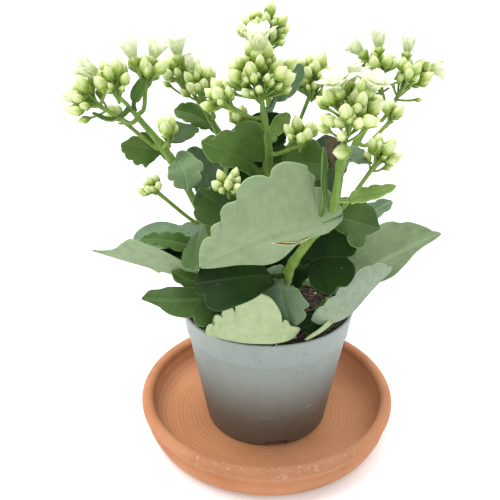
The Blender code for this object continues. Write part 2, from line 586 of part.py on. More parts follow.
def build_flower_heads():
    head, right, left, centre = build_cyme, STEM_RIGHT, STEM_LEFT, STEM_CENTRE
    back_left, back_right, behind = STEM_BACK_LEFT, STEM_BACK_RIGHT, STEM_BEHIND
    head("head_left_outer", left.side_start(199, (-100, -17, 206)),
         hub=(-88, -17, 206), axis=(-0.95, 0, 0.45), buds=9, reach=8, size=9.5, spread=60, seed=3,
         blooms=1)
    head("head_left_middle", left.tip_start(),
         hub=(-77.5, -15.5, 210), axis=(-0.1, -0.1, 1), buds=8, reach=9, size=9.5, spread=52, seed=5)
    head("head_left_top", left.side_start(200, (-55, -13, 208)),
         hub=(-64, -11, 214), axis=(0.2, 0.1, 1), buds=7, reach=9, size=9.5, spread=50, seed=7,
         blooms=1)
    head("head_left_low", left.side_start(184, (-75, -5, 190)),
         hub=(-77, -9, 196), axis=(-0.8, 0, 0.5), buds=4, reach=5, size=8, spread=45, seed=9)
    head("head_left_pair", left.side_start(184, (-45, -35, 184)),
         hub=(-52, -22.5, 189), axis=(-0.05, -0.1, 1), buds=3, reach=4, size=10, spread=40, seed=11)
    head("head_left_long", left.side_start(143, (-60, -30, 160)),
         hub=(-59, -27, 163), axis=(-0.6, -0.2, 0.7), buds=6, reach=3.5, size=7.5, spread=65, seed=13)
    head("head_back_left", back_left.tip_start(),
         hub=(-48, 14, 212), axis=(-0.3, 0, 1), buds=9, reach=9, size=9.5, spread=60, seed=15, blooms=1)
    head("head_back_middle", back_left.side_start(193, (-28, 5, 200)),
         hub=(-37, 8, 207), axis=(0.15, -0.3, 1), buds=8, reach=7, size=9.5, spread=60, seed=17)
    head("head_centre", centre.tip_start(),
         hub=(-6, -30, 216), axis=(0, 0, 1), buds=15, reach=12, size=10, spread=80, seed=19, blooms=1)
    head("head_centre_side", centre.side_start(202, (-30, -30, 204)),
         hub=(-20, -35, 208), axis=(-0.8, -0.1, 0.75), buds=7, reach=7, size=9, spread=58, seed=21)
    head("head_behind", behind.tip_start(),
         hub=(-3, 18, 235), axis=(0, 0.1, 1), buds=11, reach=10, size=9, spread=84, seed=23)
    head("head_middle_right", behind.side_start(176, (30, 4, 190)),
         hub=(23, 4, 211), axis=(0.1, 0, 1), buds=11, reach=9, size=9.5, spread=66, seed=25)
    head("head_far_right", back_right.tip_start(),
         hub=(59, 9, 213), axis=(-0.45, 0, 1), buds=9, reach=9, size=9.5, spread=60, seed=27, blooms=1)
    head("head_far_right_outer", back_right.side_start(196, (80, 5, 200)),
         hub=(72, 7, 211), axis=(0.45, 0, 1), buds=9, reach=9, size=9.5, spread=60, seed=29, blooms=1)
    head("head_right_low", back_right.side_start(183, (75, -5, 188)),
         hub=(64, -4, 195), axis=(0.5, -0.1, 0.9), buds=5, reach=5, size=8.5, spread=55, seed=31)
    head("head_right", right.tip_start(),
         hub=(33, -61, 204), axis=(0.05, -0.1, 1), buds=13, reach=11, size=10.5, spread=78, seed=33,
         blooms=2)
    head("head_right_side", right.side_start(162, (60, -42, 165)),
         hub=(50, -44, 183), axis=(0.45, 0, 1), buds=7, reach=6, size=8.5, spread=60, seed=35)
    head("head_centre_right", centre.side_start(184, (20, -42, 184)),
         hub=(14, -39, 190.5), axis=(0.2, -0.1, 1), buds=5, reach=5, size=9.5, spread=60, seed=37)
    head("head_centre_back", centre.side_start(194, (-30, -20, 196)),
         hub=(-16, -24, 196), axis=(-0.1, 0, 1), buds=4, reach=4, size=9, spread=50, seed=39)
    head("head_centre_low", centre.side_start(160, (-40, -50, 163)),
         hub=(-21, -48, 169.5), axis=(-0.05, -0.35, 1), buds=6, reach=5, size=8, spread=58, seed=41)


def main():
    clear_scene()
    build_saucer()
    build_pot()
    build_potting_mix(STEMS)
    for stem in STEMS:
        stem.build()
    build_low_leaves()
    build_high_leaves()
    build_flower_heads()


main()
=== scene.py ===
# %% [markdown]
# # A potted kalanchoe, coming into flower
#
# The plant stands in a thin plastic nursery pot, and the pot stands on a clay saucer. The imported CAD
# model is the fixed frame: it says where each leaf, stem and flower head is. This script grows the
# fine surface around it, piece by piece. Sizes are written in millimetres, as a gardener would
# measure them, and MM turns them into metres at the end.

# %% Load the frame
import math
import random

import bmesh
import bpy
from mathutils import Matrix, Vector, noise


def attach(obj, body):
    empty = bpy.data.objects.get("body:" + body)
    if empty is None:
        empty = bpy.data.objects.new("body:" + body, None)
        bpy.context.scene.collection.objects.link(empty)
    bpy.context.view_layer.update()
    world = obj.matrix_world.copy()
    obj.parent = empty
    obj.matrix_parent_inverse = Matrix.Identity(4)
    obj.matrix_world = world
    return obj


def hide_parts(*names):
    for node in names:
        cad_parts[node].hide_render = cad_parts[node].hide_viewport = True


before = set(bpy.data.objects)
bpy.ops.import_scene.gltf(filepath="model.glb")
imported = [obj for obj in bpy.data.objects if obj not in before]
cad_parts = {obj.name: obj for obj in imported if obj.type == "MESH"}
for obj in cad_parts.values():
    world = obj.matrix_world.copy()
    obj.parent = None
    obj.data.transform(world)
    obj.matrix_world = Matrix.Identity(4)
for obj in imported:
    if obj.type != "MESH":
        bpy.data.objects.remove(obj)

MM = 0.001
UP = Vector((0, 0, 1))
GOLDEN_ANGLE = math.radians(137.5)
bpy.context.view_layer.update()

# %% [markdown]
# ## The camera and the room
#
# The plant is looked at from a little above, as from a chair beside the table.

# %% Camera
CAMERA_PLACE = Vector((-10.7, -319.0, 256.6))
CAMERA_TILT = 23.4              # degrees below the horizon
CAMERA_LENS = 42.3

camera = bpy.data.objects.new("camera", bpy.data.cameras.new("camera"))
camera.data.lens = CAMERA_LENS
camera.data.sensor_width = 36.0
camera.data.clip_start = 0.005
camera.location = CAMERA_PLACE * MM
camera.rotation_euler = (math.radians(90 - CAMERA_TILT), 0, 0)
bpy.context.scene.collection.objects.link(camera)
bpy.context.scene.camera = camera
print("camera stands", round(CAMERA_PLACE.length), "mm from the saucer's centre")

# %% [markdown]
# The light comes from all around. A big soft lamp high at the left and a weaker one at the back right
# only give it a direction, so the shadows stay pale.

# %% Room: the world's light and two soft lamps
room = bpy.data.worlds.new("white_room")
room.use_nodes = True
room.node_tree.nodes["Background"].inputs["Color"].default_value = (0.985, 0.99, 1.0, 1.0)
room.node_tree.nodes["Background"].inputs["Strength"].default_value = 0.95
bpy.context.scene.world = room
bpy.context.scene.view_settings.view_transform = "Standard"


def soft_lamp(name, place, power, size):
    """A square lamp that looks at the middle of the plant."""
    lamp = bpy.data.objects.new(name, bpy.data.lights.new(name, "AREA"))
    lamp.data.energy = power
    lamp.data.size = size
    lamp.location = place
    aim = Vector((0, 0, 0.12)) - Vector(place)
    lamp.rotation_euler = aim.to_track_quat("-Z", "Y").to_euler()
    bpy.context.scene.collection.objects.link(lamp)


soft_lamp("window", (-0.45, 0.0, 1.2), 14.0, 0.8)
soft_lamp("far_wall", (0.6, 0.5, 0.9), 6.0, 0.9)


# %% [markdown]
# ## Shader sums as plain Python
#
# A finish is a small net of nodes. Sums are easier to read as sums, so a Wire wraps one socket and
# knows plus, minus and times, and each of them adds one Math node. Everything else goes through
# Finish.node, which takes the kind of node, its settings and what its sockets hold.

# %% Wires and finishes
class Wire:
    """One output socket that can be used in a sum."""

    def __init__(self, finish, socket):
        self.finish = finish
        self.socket = socket

    def sum(self, operation, *values):
        sockets = dict(enumerate(values))
        return self.finish.node("Math", {"operation": operation}, sockets)

    def __add__(self, other):
        return self.sum("ADD", self, other)

    def __sub__(self, other):
        return self.sum("SUBTRACT", self, other)

    def __rsub__(self, other):
        return self.sum("SUBTRACT", other, self)

    def __mul__(self, other):
        return self.sum("MULTIPLY", self, other)

    def size(self):
        """How far it is from zero."""
        return self.sum("ABSOLUTE", self)

    def fraction(self):
        return self.sum("FRACT", self)

    def step(self, low, high):
        """0 below low and 1 above high, with a soft slope between."""
        settings = {"interpolation_type": "SMOOTHSTEP"}
        return self.finish.node("MapRange", settings, {"Value": self, "From Min": low, "From Max": high})

    __radd__ = __add__
    __rmul__ = __mul__


class Finish:
    """A material, its Principled shader and the nodes that feed it."""

    def __init__(self, name, **fixed):
        self.material = bpy.data.materials.new(name)
        self.material.use_nodes = True
        self.tree = self.material.node_tree
        self.skin = self.tree.nodes["Principled BSDF"]
        self.sockets = {socket.name.lower(): socket for socket in self.skin.inputs}
        for name, value in fixed.items():
            self.sockets[name.replace("_", " ")].default_value = value

    def put(self, value, socket):
        if isinstance(value, Wire):
            self.tree.links.new(value.socket, socket)
        elif isinstance(value, tuple) and len(value) == 3 and socket.type == "RGBA":
            socket.default_value = (*value, 1.0)
        else:
            socket.default_value = value

    def node(self, kind, settings=None, sockets=None, output=0):
        made = self.tree.nodes.new("ShaderNode" + kind)
        for name, value in (settings or {}).items():
            setattr(made, name, value)
        for name, value in (sockets or {}).items():
            self.put(value, made.inputs[name])
        return Wire(self, made.outputs[output])

    def place(self):
        """Where a point is on the piece, in metres."""
        return self.node("TexCoord", output=3)

    def reading(self, name):
        """A value that the mesh carries at each of its points."""
        return self.node("Attribute", {"attribute_name": name}, output=2)

    def axis(self, vector, letter):
        return self.node("SeparateXYZ", None, {0: vector}, output="XYZ".index(letter))

    def stretched(self, vector, factors):
        return self.node("VectorMath", {"operation": "MULTIPLY"}, {0: vector, 1: factors})

    def cloud(self, vector, scale, detail, roughness=0.55):
        sockets = {"Vector": vector, "Scale": scale, "Detail": detail, "Roughness": roughness}
        return self.node("TexNoise", None, sockets)

    def grains(self, vector, scale):
        """Distance to the nearest of many scattered points."""
        return self.node("TexVoronoi", None, {"Vector": vector, "Scale": scale})

    def mix(self, first, second, share):
        return self.node("Mix", {"data_type": "RGBA"}, {0: share, 6: first, 7: second}, output=2)

    def bump(self, height, distance, strength):
        sockets = {"Height": height, "Distance": distance, "Strength": strength}
        return self.node("Bump", None, sockets)

    def wear(self, **feeds):
        """Feeds the shader's sockets and returns the material."""
        for name, value in feeds.items():
            self.put(value, self.sockets[name.replace("_", " ")])
        return self.material


print("shader helpers ready")


# %% [markdown]
# ## Clay to model with
#
# Every piece is gathered as points and faces before it becomes a mesh. Each point can carry
# readings, such as how near it is to a leaf's margin, and the finishes read them to paint
# the right places.

# %% Gathering points and faces
class Lump:
    """Points, faces and readings of one piece, in millimetres."""

    def __init__(self):
        self.points = []
        self.faces = []
        self.inks = []
        self.readings = {}

    def point(self, place, **readings):
        for name, value in readings.items():
            self.readings.setdefault(name, {})[len(self.points)] = value
        self.points.append(Vector(place))
        return len(self.points) - 1

    def face(self, corners, ink=0):
        self.faces.append(list(dict.fromkeys(corners)))
        self.inks.append(ink)

    def skin(self, loops, ink=0, closed=True):
        """Faces between neighbouring rows of points."""
        for low, high in zip(loops, loops[1:]):
            count = len(low) if closed else len(low) - 1
            for k in range(count):
                near = (k + 1) % len(low)
                self.face((low[k], low[near], high[near], high[k]), ink)

    def become(self, name, finishes, sharp=60):
        mesh = bpy.data.meshes.new(name)
        mesh.from_pydata([point * MM for point in self.points], [], self.faces)
        for finish in finishes:
            mesh.materials.append(finish)
        mesh.polygons.foreach_set("material_index", self.inks)
        for label, values in self.readings.items():
            layer = mesh.attributes.new(label, "FLOAT", "POINT")
            layer.data.foreach_set("value", [values.get(k, 0.0) for k in range(len(self.points))])
        work = bmesh.new()
        work.from_mesh(mesh)
        loose = [corner for corner in work.verts if not corner.link_faces]
        bmesh.ops.delete(work, geom=loose, context="VERTS")
        bmesh.ops.recalc_face_normals(work, faces=work.faces)
        work.to_mesh(mesh)
        work.free()
        mesh.shade_smooth()
        mesh.set_sharp_from_angle(angle=math.radians(sharp))
        piece = bpy.data.objects.new(name, mesh)
        bpy.context.scene.collection.objects.link(piece)
        return piece


def settle(piece, slot, *nodes):
    """The piece rides with the frame and stands for its CAD nodes."""
    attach(piece, "root")
    if nodes:
        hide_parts(*nodes)
    return piece


def arc(centre, height, roll, start, end, steps):
    """Points of a round, from one angle to another in degrees."""
    angles = [math.radians(start + (end - start) * k / steps) for k in range(steps + 1)]
    return [(centre + roll * math.cos(a), height + roll * math.sin(a)) for a in angles]


# %% [markdown]
# Stems, the ribs of leaves, roots and the stalks of heads follow smooth curves through a few chosen
# points, with evenly spaced samples. A ring of points carried along such a curve makes a bar.

# %% Smooth paths, as in the CAD model
SPAN_STEPS = 10


def between(first, second, start, end, t):
    return first + (second - first) * ((t - start) / (end - start))


def even_route(route, samples):
    """The same path with evenly spaced points."""
    lengths = [0.0]
    for a, b in zip(route, route[1:]):
        lengths.append(lengths[-1] + (b - a).length)
    even = []
    k = 0
    for n in range(samples + 1):
        distance = lengths[-1] * n / samples
        while k < len(route) - 2 and lengths[k + 1] < distance:
            k += 1
        even.append(between(route[k], route[k + 1], lengths[k], lengths[k + 1], distance))
    return even


def smooth_route(points, samples):
    """A centripetal Catmull-Rom curve through the points, as evenly spaced samples."""
    knots = [Vector(p) for p in points]
    knots = [2 * knots[0] - knots[1]] + knots + [2 * knots[-1] - knots[-2]]
    times = [0.0]
    for a, b in zip(knots, knots[1:]):
        times.append(times[-1] + (b - a).length ** 0.5)
    route = [knots[1]]
    for span in range(1, len(knots) - 2):
        p, s = knots[span - 1:span + 3], times[span - 1:span + 3]
        for step in range(1, SPAN_STEPS + 1):
            t = s[1] + (s[2] - s[1]) * step / SPAN_STEPS
            a = [between(p[i], p[i + 1], s[i], s[i + 1], t) for i in range(3)]
            b = [between(a[i], a[i + 1], s[i], s[i + 2], t) for i in range(2)]
            route.append(between(b[0], b[1], s[1], s[2], t))
    return even_route(route, samples)


def tangents(route):
    last = len(route) - 1
    return [(route[min(k + 1, last)] - route[max(k - 1, 0)]).normalized() for k in range(last + 1)]


def ring_frame(direction, previous=None):
    """Two directions square to a third; with a previous one the ring turns as little as it can."""
    guide = previous if previous else Vector((1, 0, 0.01))
    if abs(guide.dot(direction)) > 0.95:
        guide = Vector((0, 1, 0))
    first = (guide - direction * guide.dot(direction)).normalized()
    return first, direction.cross(first)


def add_tube(lump, route, radii, sides, ink, **readings):
    """A closed round bar along a route, with rounded ends."""
    ways = tangents(route)
    route = [route[0]] + list(route) + [route[-1]]
    ways = [ways[0]] + ways + [ways[-1]]
    radii = [0.6 * radii[0]] + list(radii) + [0.6 * radii[-1]]
    route[0] = route[0] - ways[0] * 0.3 * radii[1]
    route[-1] = route[-1] + ways[-1] * 0.3 * radii[-2]
    first = None
    loops = []
    for n, (place, way, radius) in enumerate(zip(route, ways, radii)):
        first, second = ring_frame(way, first)
        loop = []
        for k in range(sides):
            angle = math.tau * k / sides
            offset = radius * (math.cos(angle) * first + math.sin(angle) * second)
            loop.append(lump.point(place + offset, run=n / (len(route) - 1), **readings))
        loops.append(loop)
    lump.skin(loops, ink)
    lump.face(list(reversed(loops[0])), ink)
    lump.face(loops[-1], ink)


print("modelling helpers ready")
# %% [markdown]
# ## The saucer
#
# A clay saucer is thrown on a wheel: the thrower's fingers leave fine rings inside it, and the lip is
# rolled over. Turning one half outline round the axis gives the shape. The rings are real ripples
# in the mesh, wound as a spiral, and the lip wavers a little because it was shaped by hand.

# %% Saucer: shape
SAUCER_FLOOR = 5.2
SAUCER_LIP = (76.8, 20.5, 3.7)          # centre radius, height and roll
RIPPLE_PITCH = 2.7
RIPPLE_DEPTH = 0.16
SAUCER_SIDES = 192


def outline(points, step):
    """A smooth half outline through (radius, height) points."""
    places = [Vector((radius, 0, height)) for radius, height in points]
    length = sum((b - a).length for a, b in zip(places, places[1:]))
    return [(p.x, p.z) for p in smooth_route(places, round(length / step))]


def turn(lump, profile, sides, shift, skip=None):
    """Turns a closed half outline, which starts and ends on the axis.

    shift says how far out and up a point moves, and skip says which faces are left out.
    """
    loops = []
    for radius, height in profile:
        if radius < 0.01:
            loops.append([lump.point((0, 0, height))] * sides)
            continue
        loop = []
        for k in range(sides):
            angle = math.tau * k / sides
            out, rise = shift(len(loops), radius, height, angle)
            place = ((radius + out) * math.cos(angle), (radius + out) * math.sin(angle), height + rise)
            loop.append(lump.point(place))
        loops.append(loop)
    for n, (low, high) in enumerate(zip(loops, loops[1:])):
        for k in range(sides):
            near = (k + 1) % sides
            if not (skip and skip(n, k)):
                lump.face((low[k], low[near], high[near], high[k]))
    return loops


def thrown(n, radius, height, angle):
    """The thrower's rings inside, and a lip that wavers."""
    round_place = Vector((math.cos(angle), math.sin(angle), 0.2))
    waver = 0.28 * noise.noise(round_place * 1.3) * min(max((height - 6) / 10, 0), 1)
    inside = n > len(saucer_outside) and radius > 41
    ripple = math.sin(math.tau * radius / RIPPLE_PITCH + angle)
    depth = RIPPLE_DEPTH * (0.6 + noise.noise(Vector((radius * 0.3, 0, 0)))) if inside else 0
    return waver, depth * ripple + 0.5 * waver


saucer_outside = [(0, 0), (40, 0), (69.4, 0), (70.6, 0.3)]
saucer_outside += outline([(70.6, 0.3), (73.6, 1.7), (76.4, 6.4), (78.1, 11.5), (77.6, 15.6)], 0.9)[1:]
saucer_outside += arc(*SAUCER_LIP, -48, 196, 30)
saucer_inside = outline([(72.6, 16.9), (70.6, 11.2), (66.4, 7.5), (61.0, 5.8), (54.0, SAUCER_FLOOR)],
                        0.45)
saucer_inside += [(54.0 - 0.5 * k, SAUCER_FLOOR) for k in range(1, 28)]
saucer_inside += [(20, SAUCER_FLOOR), (0, SAUCER_FLOOR)]
saucer_lump = Lump()
turn(saucer_lump, saucer_outside + saucer_inside, SAUCER_SIDES, thrown)
print("saucer:", len(saucer_lump.faces), "faces")

# %% [markdown]
# Unglazed clay is matte, with soft fire marks, paler rings on its sloped inner wall, and sand grains
# and pits that make it slightly rough. The front of the lip is damp in spots and painted darker, as
# painted shade, with a little lime that water left behind.

# %% Saucer: finish
def clay_finish():
    clay = Finish("fired_clay", roughness=0.8)
    place = clay.place()
    flat = clay.stretched(place, (1, 1, 0))
    radius = clay.node("VectorMath", {"operation": "LENGTH"}, {0: flat}, output="Value")
    height = clay.axis(place, "Z")
    rings = clay.node("TexNoise", {"noise_dimensions": "1D"}, {"W": radius * 900, "Detail": 3.0})
    broad = clay.cloud(place, 28, 3)
    grain = clay.cloud(place, 2600, 2)
    body = clay.mix((0.440, 0.170, 0.070), (0.545, 0.240, 0.112), broad.step(0.3, 0.7))
    inner = radius.step(0.0795, 0.0715) * height.step(0.0188, 0.0150)
    wall = inner * radius.step(0.0520, 0.0620)
    body = clay.mix(body, (0.600, 0.285, 0.135), wall * (rings.step(0.35, 0.75) * 0.40 + 0.30))
    body = clay.mix(body, (0.570, 0.262, 0.115), inner * (1 - wall) * 0.6)
    smoke = clay.cloud(place, 9, 2).step(0.52, 0.75)
    body = clay.mix(body, (0.330, 0.165, 0.090), smoke * 0.40)
    forward = {"Value": clay.axis(place, "Y"), "From Min": -0.045, "From Max": -0.075}
    front = clay.node("MapRange", None, forward)
    lip = height.step(0.0165, 0.0215) * front
    lime = clay.cloud(place, 420, 5, 0.7).step(0.56, 0.66) * lip
    # painted shade: the front of the lip is painted darker
    body = clay.mix(body, (0.330, 0.150, 0.072), lip * 0.55)
    body = clay.mix(body, (0.66, 0.50, 0.38), lime * 0.45)
    sand = clay.grains(place, 900).step(0.20, 0.10)
    body = clay.mix(body, (0.72, 0.44, 0.27), sand * 0.35)
    pits = clay.grains(place, 520).step(0.12, 0.05)
    body = clay.mix(body, (0.20, 0.085, 0.045), pits * 0.5)
    damp = clay.cloud(place, 700, 3).step(0.60, 0.70) * lip
    fine = clay.bump(grain * 0.5 + rings * 0.6 - pits * 0.8, 0.0003, 0.5)
    return clay.wear(base_color=body, roughness=0.84 - damp * 0.42 - sand * 0.1, normal=fine)


saucer = settle(saucer_lump.become("clay_saucer", [clay_finish()]), "clay", "saucer")

# %% [markdown]
# ## The nursery pot
#
# The pot is blown thin from grey plastic. Under its rim is a taller band, so that pots can be
# gripped and stacked, and its foot ring has four low gates that let water out. The outline is
# turned like the saucer. Where a gate is, the foot ring's rows are left out and the cut is walled
# up, which keeps every edge clean.

# %% Pot: shape
POT_BASE = SAUCER_FLOOR + 0.35
POT_TOP = POT_BASE + 79.8
POT_PLATE = POT_BASE + 3.5
POT_RIM_RADIUS = 52.5
POT_SHOULDER_RADIUS = 49.0
POT_FOOT_RADIUS = 38.8
POT_WALL = 1.4
SHOULDER = POT_TOP - 17.0
POT_SIDES = 180
GATE_SIDES = 10
GATE_FIRST = round((270 + 8) / 360 * POT_SIDES)         # 8 degrees to the right of the front


def pot_outline():
    foot = [(POT_FOOT_RADIUS - 4.6, POT_PLATE), (POT_FOOT_RADIUS - 4.1, POT_BASE + 0.4)]
    foot += [(POT_FOOT_RADIUS - 3.8, POT_BASE), (POT_FOOT_RADIUS - 1.6, POT_BASE)]
    foot += arc(POT_FOOT_RADIUS - 1.6, POT_BASE + 1.6, 1.6, -80, 0, 6)
    flare = (POT_SHOULDER_RADIUS - POT_FOOT_RADIUS) / (SHOULDER - POT_BASE - 1.6)
    foot += [(POT_FOOT_RADIUS + flare * 1.9, POT_PLATE)]
    wall = [(POT_FOOT_RADIUS + flare * rise, POT_BASE + 1.6 + rise) for rise in range(4, 56, 4)]
    wall += [(POT_SHOULDER_RADIUS - 0.15, SHOULDER - 0.5), (POT_SHOULDER_RADIUS, SHOULDER - 0.1)]
    wall += [(POT_SHOULDER_RADIUS + 0.5, SHOULDER + 0.15), (POT_SHOULDER_RADIUS + 0.95, SHOULDER + 0.7)]
    lean = POT_RIM_RADIUS - POT_SHOULDER_RADIUS - 1.4
    wall += [(POT_SHOULDER_RADIUS + 1.0 + lean * k / 6, SHOULDER + 1.2 + 14.6 * k / 6) for k in range(7)]
    rim = arc(POT_RIM_RADIUS - 0.75, POT_TOP - 0.75, 0.75, -10, 190, 10)
    inside = [(POT_RIM_RADIUS - 1.6, POT_TOP - 3), (POT_SHOULDER_RADIUS + 0.9 - POT_WALL, SHOULDER + 1.4)]
    inside += [(POT_SHOULDER_RADIUS - POT_WALL, SHOULDER - 0.6)]
    inside += [(POT_FOOT_RADIUS - POT_WALL, POT_PLATE + 3.0), (POT_FOOT_RADIUS - 2.8, POT_PLATE + 1.6)]
    return [(0, POT_PLATE), (20, POT_PLATE)], foot, wall + rim + inside + [(0, POT_PLATE + 1.6)]


def thin_wall(n, radius, height, angle):
    """Thin plastic is never quite round."""
    bend = noise.noise(Vector((math.cos(angle), math.sin(angle), height * 0.02)) * 1.1)
    return 0.22 * bend * min(max((height - 12) / 30, 0), 1), 0


def pot_lump():
    lump = Lump()
    plate, foot, shell = pot_outline()
    first, last = len(plate), len(plate) + len(foot) - 1
    gates = []
    for quarter in range(4):
        start = GATE_FIRST - GATE_SIDES // 2 + quarter * POT_SIDES // 4
        gates.append([(start + k) % POT_SIDES for k in range(GATE_SIDES + 1)])
    open_sides = {k for gate in gates for k in gate[:-1]}
    loops = turn(lump, plate + foot + shell, POT_SIDES, thin_wall,
                 skip=lambda n, k: first <= n < last and k in open_sides)
    for gate in gates:
        for k, near in zip(gate, gate[1:]):
            lump.face((loops[first][k], loops[first][near], loops[last][near], loops[last][k]))
        for end in (gate[0], gate[-1]):
            lump.face([loops[n][end] for n in range(first, last + 1)])
    return lump


pot_shape = pot_lump()
print("pot:", len(pot_shape.faces), "faces,", GATE_SIDES, "sides to a gate")

# %% [markdown]
# The plastic is dyed a pale grey with a breath of green. It is satin, not glossy, with faint flow
# lines from the mould. Towards the foot it is painted darker and browner: painted shade, tinted warm
# like light bounced from the clay saucer. It is dusted there with dried water, and all over it has a
# few scuffs and tiny dark specks of peat.

# %% Pot: finish
def plastic_finish():
    plastic = Finish("pot_plastic", roughness=0.5)
    place = plastic.place()
    height = plastic.axis(place, "Z")
    flow = plastic.cloud(plastic.stretched(place, (1, 1, 0.12)), 160, 3)
    blotch = plastic.cloud(place, 34, 4)
    body = plastic.mix((0.255, 0.300, 0.280), (0.295, 0.342, 0.322), blotch.step(0.3, 0.7))
    body = plastic.mix(body, (0.230, 0.262, 0.240), flow.step(0.45, 0.75) * 0.35)
    # painted shade: darker and browner towards the foot, tinted like light bounced from the saucer
    low = height.step(0.084, 0.008)
    body = plastic.mix(body, (0.100, 0.078, 0.056), low * (0.66 + 0.35 * blotch))
    dust = plastic.cloud(place, 260, 5, 0.65).step(0.55, 0.72) * height.step(0.045, 0.010)
    body = plastic.mix(body, (0.30, 0.26, 0.21), dust * 0.30)
    specks = plastic.grains(place, 170).step(0.085, 0.045)
    body = plastic.mix(body, (0.05, 0.05, 0.045), specks * 0.8)
    scuffs = plastic.cloud(plastic.stretched(place, (1, 1, 3.2)), 90, 6, 0.7).step(0.60, 0.66)
    body = plastic.mix(body, (0.36, 0.41, 0.39), scuffs * 0.35)
    orange_peel = plastic.cloud(place, 1100, 2)
    rough = 0.44 + flow * 0.10 + dust * 0.25 + scuffs * 0.12
    return plastic.wear(base_color=body, roughness=rough,
                        normal=plastic.bump(orange_peel + scuffs * 0.6, 0.00012, 0.5))


pot = settle(pot_shape.become("nursery_pot", [plastic_finish()], sharp=35), "pot_plastic", "pot")

# %% [markdown]
# ## The potting mix
#
# The mix is peat with bark crumbs, white grains of perlite and fine roots. Its body is a turned plug
# with a lumpy top. Crumbs are small uneven stones of peat, scattered over the top and caught on
# the front of the rim, and the roots are thin bent threads. All of them are one piece.

# %% Mix: shape
MIX_TOP = POT_TOP - 8.0
MIX_CLEAR = POT_WALL + 0.35
MIX_SIDES = 110
MIX_RINGS = 34
PEAT_INK, PERLITE_INK, ROOT_INK = range(3)
ROOT_BENDS = 6
ROOT_SAMPLES = 12
CRUMBS = 420
ROOTS = 70
FRONT_CRUMBS = ((-121, -100, 16), (-92, -84, 9))        # from and to in degrees, and how many
chance = random.Random(11)


def lumpy(n, radius, height, angle):
    """Heights of the top: soft mounds with fine crumble on them."""
    if height < MIX_TOP - 1.0:
        return 0, 0
    spot = Vector((radius * math.cos(angle), radius * math.sin(angle), 0))
    mound = 1.1 * noise.noise(spot * 0.09) + 0.7 * noise.noise(spot * 0.35) + 0.35 * noise.noise(spot * 1.3)
    return 0, mound


def add_crumb(lump, place, size, ink):
    """A small stone: a squashed ball whose corners are pushed in and out at random."""
    ball = bmesh.new()
    bmesh.ops.create_icosphere(ball, subdivisions=2, radius=1.0)
    seed = Vector((chance.uniform(0, 50), 0, 0))
    squash = Vector((1, chance.uniform(0.6, 1), chance.uniform(0.5, 0.9)))
    turned = Matrix.Rotation(chance.uniform(0, math.tau), 3, Vector((chance.random(), chance.random(), 1)))
    corners = []
    for corner in ball.verts:
        lumpy_radius = size * (1 + 0.45 * noise.noise(corner.co * 1.4 + seed))
        corners.append(lump.point(Vector(place) + turned @ (corner.co * lumpy_radius * squash)))
    for face in ball.faces:
        lump.face([corners[corner.index] for corner in face.verts], ink)
    ball.free()


def add_root(lump, place, length, lift=0.6):
    """A fine root that wanders over the top."""
    heading = chance.uniform(0, math.tau)
    spot = Vector(place)
    route = [spot.copy()]
    for step in range(ROOT_BENDS):
        heading += chance.uniform(-0.7, 0.7)
        rise = chance.uniform(-lift, lift) * (0.5 if step < 3 else 1)
        spot = spot + Vector((math.cos(heading), math.sin(heading), 0)) * length / ROOT_BENDS + UP * rise
        route.append(spot.copy())
    radius = chance.uniform(0.13, 0.22)
    radii = [radius * (1 - 0.04 * k) for k in range(ROOT_SAMPLES + 1)]
    add_tube(lump, smooth_route(route, ROOT_SAMPLES), radii, 5, ROOT_INK)


def mix_lump():
    lump = Lump()
    floor = POT_PLATE + 1.95
    shoulder = POT_SHOULDER_RADIUS - MIX_CLEAR
    side = [(0, floor), (POT_FOOT_RADIUS - 3.4, floor), (POT_FOOT_RADIUS - MIX_CLEAR, floor + 1.8)]
    side += [(shoulder, SHOULDER - 0.4), (shoulder + 0.6, SHOULDER + 2), (shoulder + 1.2, MIX_TOP - 1.5)]
    top = [(48.3 * (1 - k / MIX_RINGS), MIX_TOP + 0.9 * (k / MIX_RINGS) ** 0.5)
           for k in range(MIX_RINGS + 1)]
    turn(lump, side + top, MIX_SIDES, lumpy)
    for k in range(CRUMBS):
        radius = 48.0 * math.sqrt(chance.random())
        angle = chance.uniform(0, math.tau)
        size = chance.uniform(0.45, 1.7)
        ink = PERLITE_INK if chance.random() < 0.06 else PEAT_INK
        add_crumb(lump, (radius * math.cos(angle), radius * math.sin(angle), MIX_TOP + 0.7), size, ink)
    for k in range(ROOTS):
        radius = 46.0 * math.sqrt(chance.random())
        angle = chance.uniform(0, math.tau)
        place = (radius * math.cos(angle), radius * math.sin(angle), MIX_TOP + 1.6)
        add_root(lump, place, chance.uniform(6, 15))
    for start, end, count in FRONT_CRUMBS:
        for k in range(count):
            angle = math.radians(chance.uniform(start, end))
            radius = POT_RIM_RADIUS - chance.uniform(0.3, 3.2)
            place = Vector((radius * math.cos(angle), radius * math.sin(angle), POT_TOP + 0.2))
            add_crumb(lump, place, chance.uniform(0.3, 0.75), PEAT_INK)
            if k % 3 == 0:
                add_root(lump, place + UP * 0.4, chance.uniform(3, 6), 0.25)
    return lump


mix_shape = mix_lump()
print("mix:", len(mix_shape.faces), "faces")

# %% [markdown]
# Damp peat is nearly black in its hollows and brown on its dry crumbs. Perlite is white and
# pitted, and the roots are straw-coloured.

# %% Mix: finishes
def peat_finish():
    peat = Finish("damp_peat", roughness=0.95)
    place = peat.place()
    broad = peat.cloud(place, 90, 4)
    fine = peat.cloud(place, 900, 5, 0.65)
    body = peat.mix((0.014, 0.009, 0.006), (0.060, 0.036, 0.021), broad.step(0.35, 0.7))
    body = peat.mix(body, (0.135, 0.080, 0.042), fine.step(0.58, 0.72) * 0.7)
    return peat.wear(base_color=body, roughness=0.96 - broad.step(0.5, 0.3) * 0.35,
                     normal=peat.bump(fine, 0.0006, 0.8))


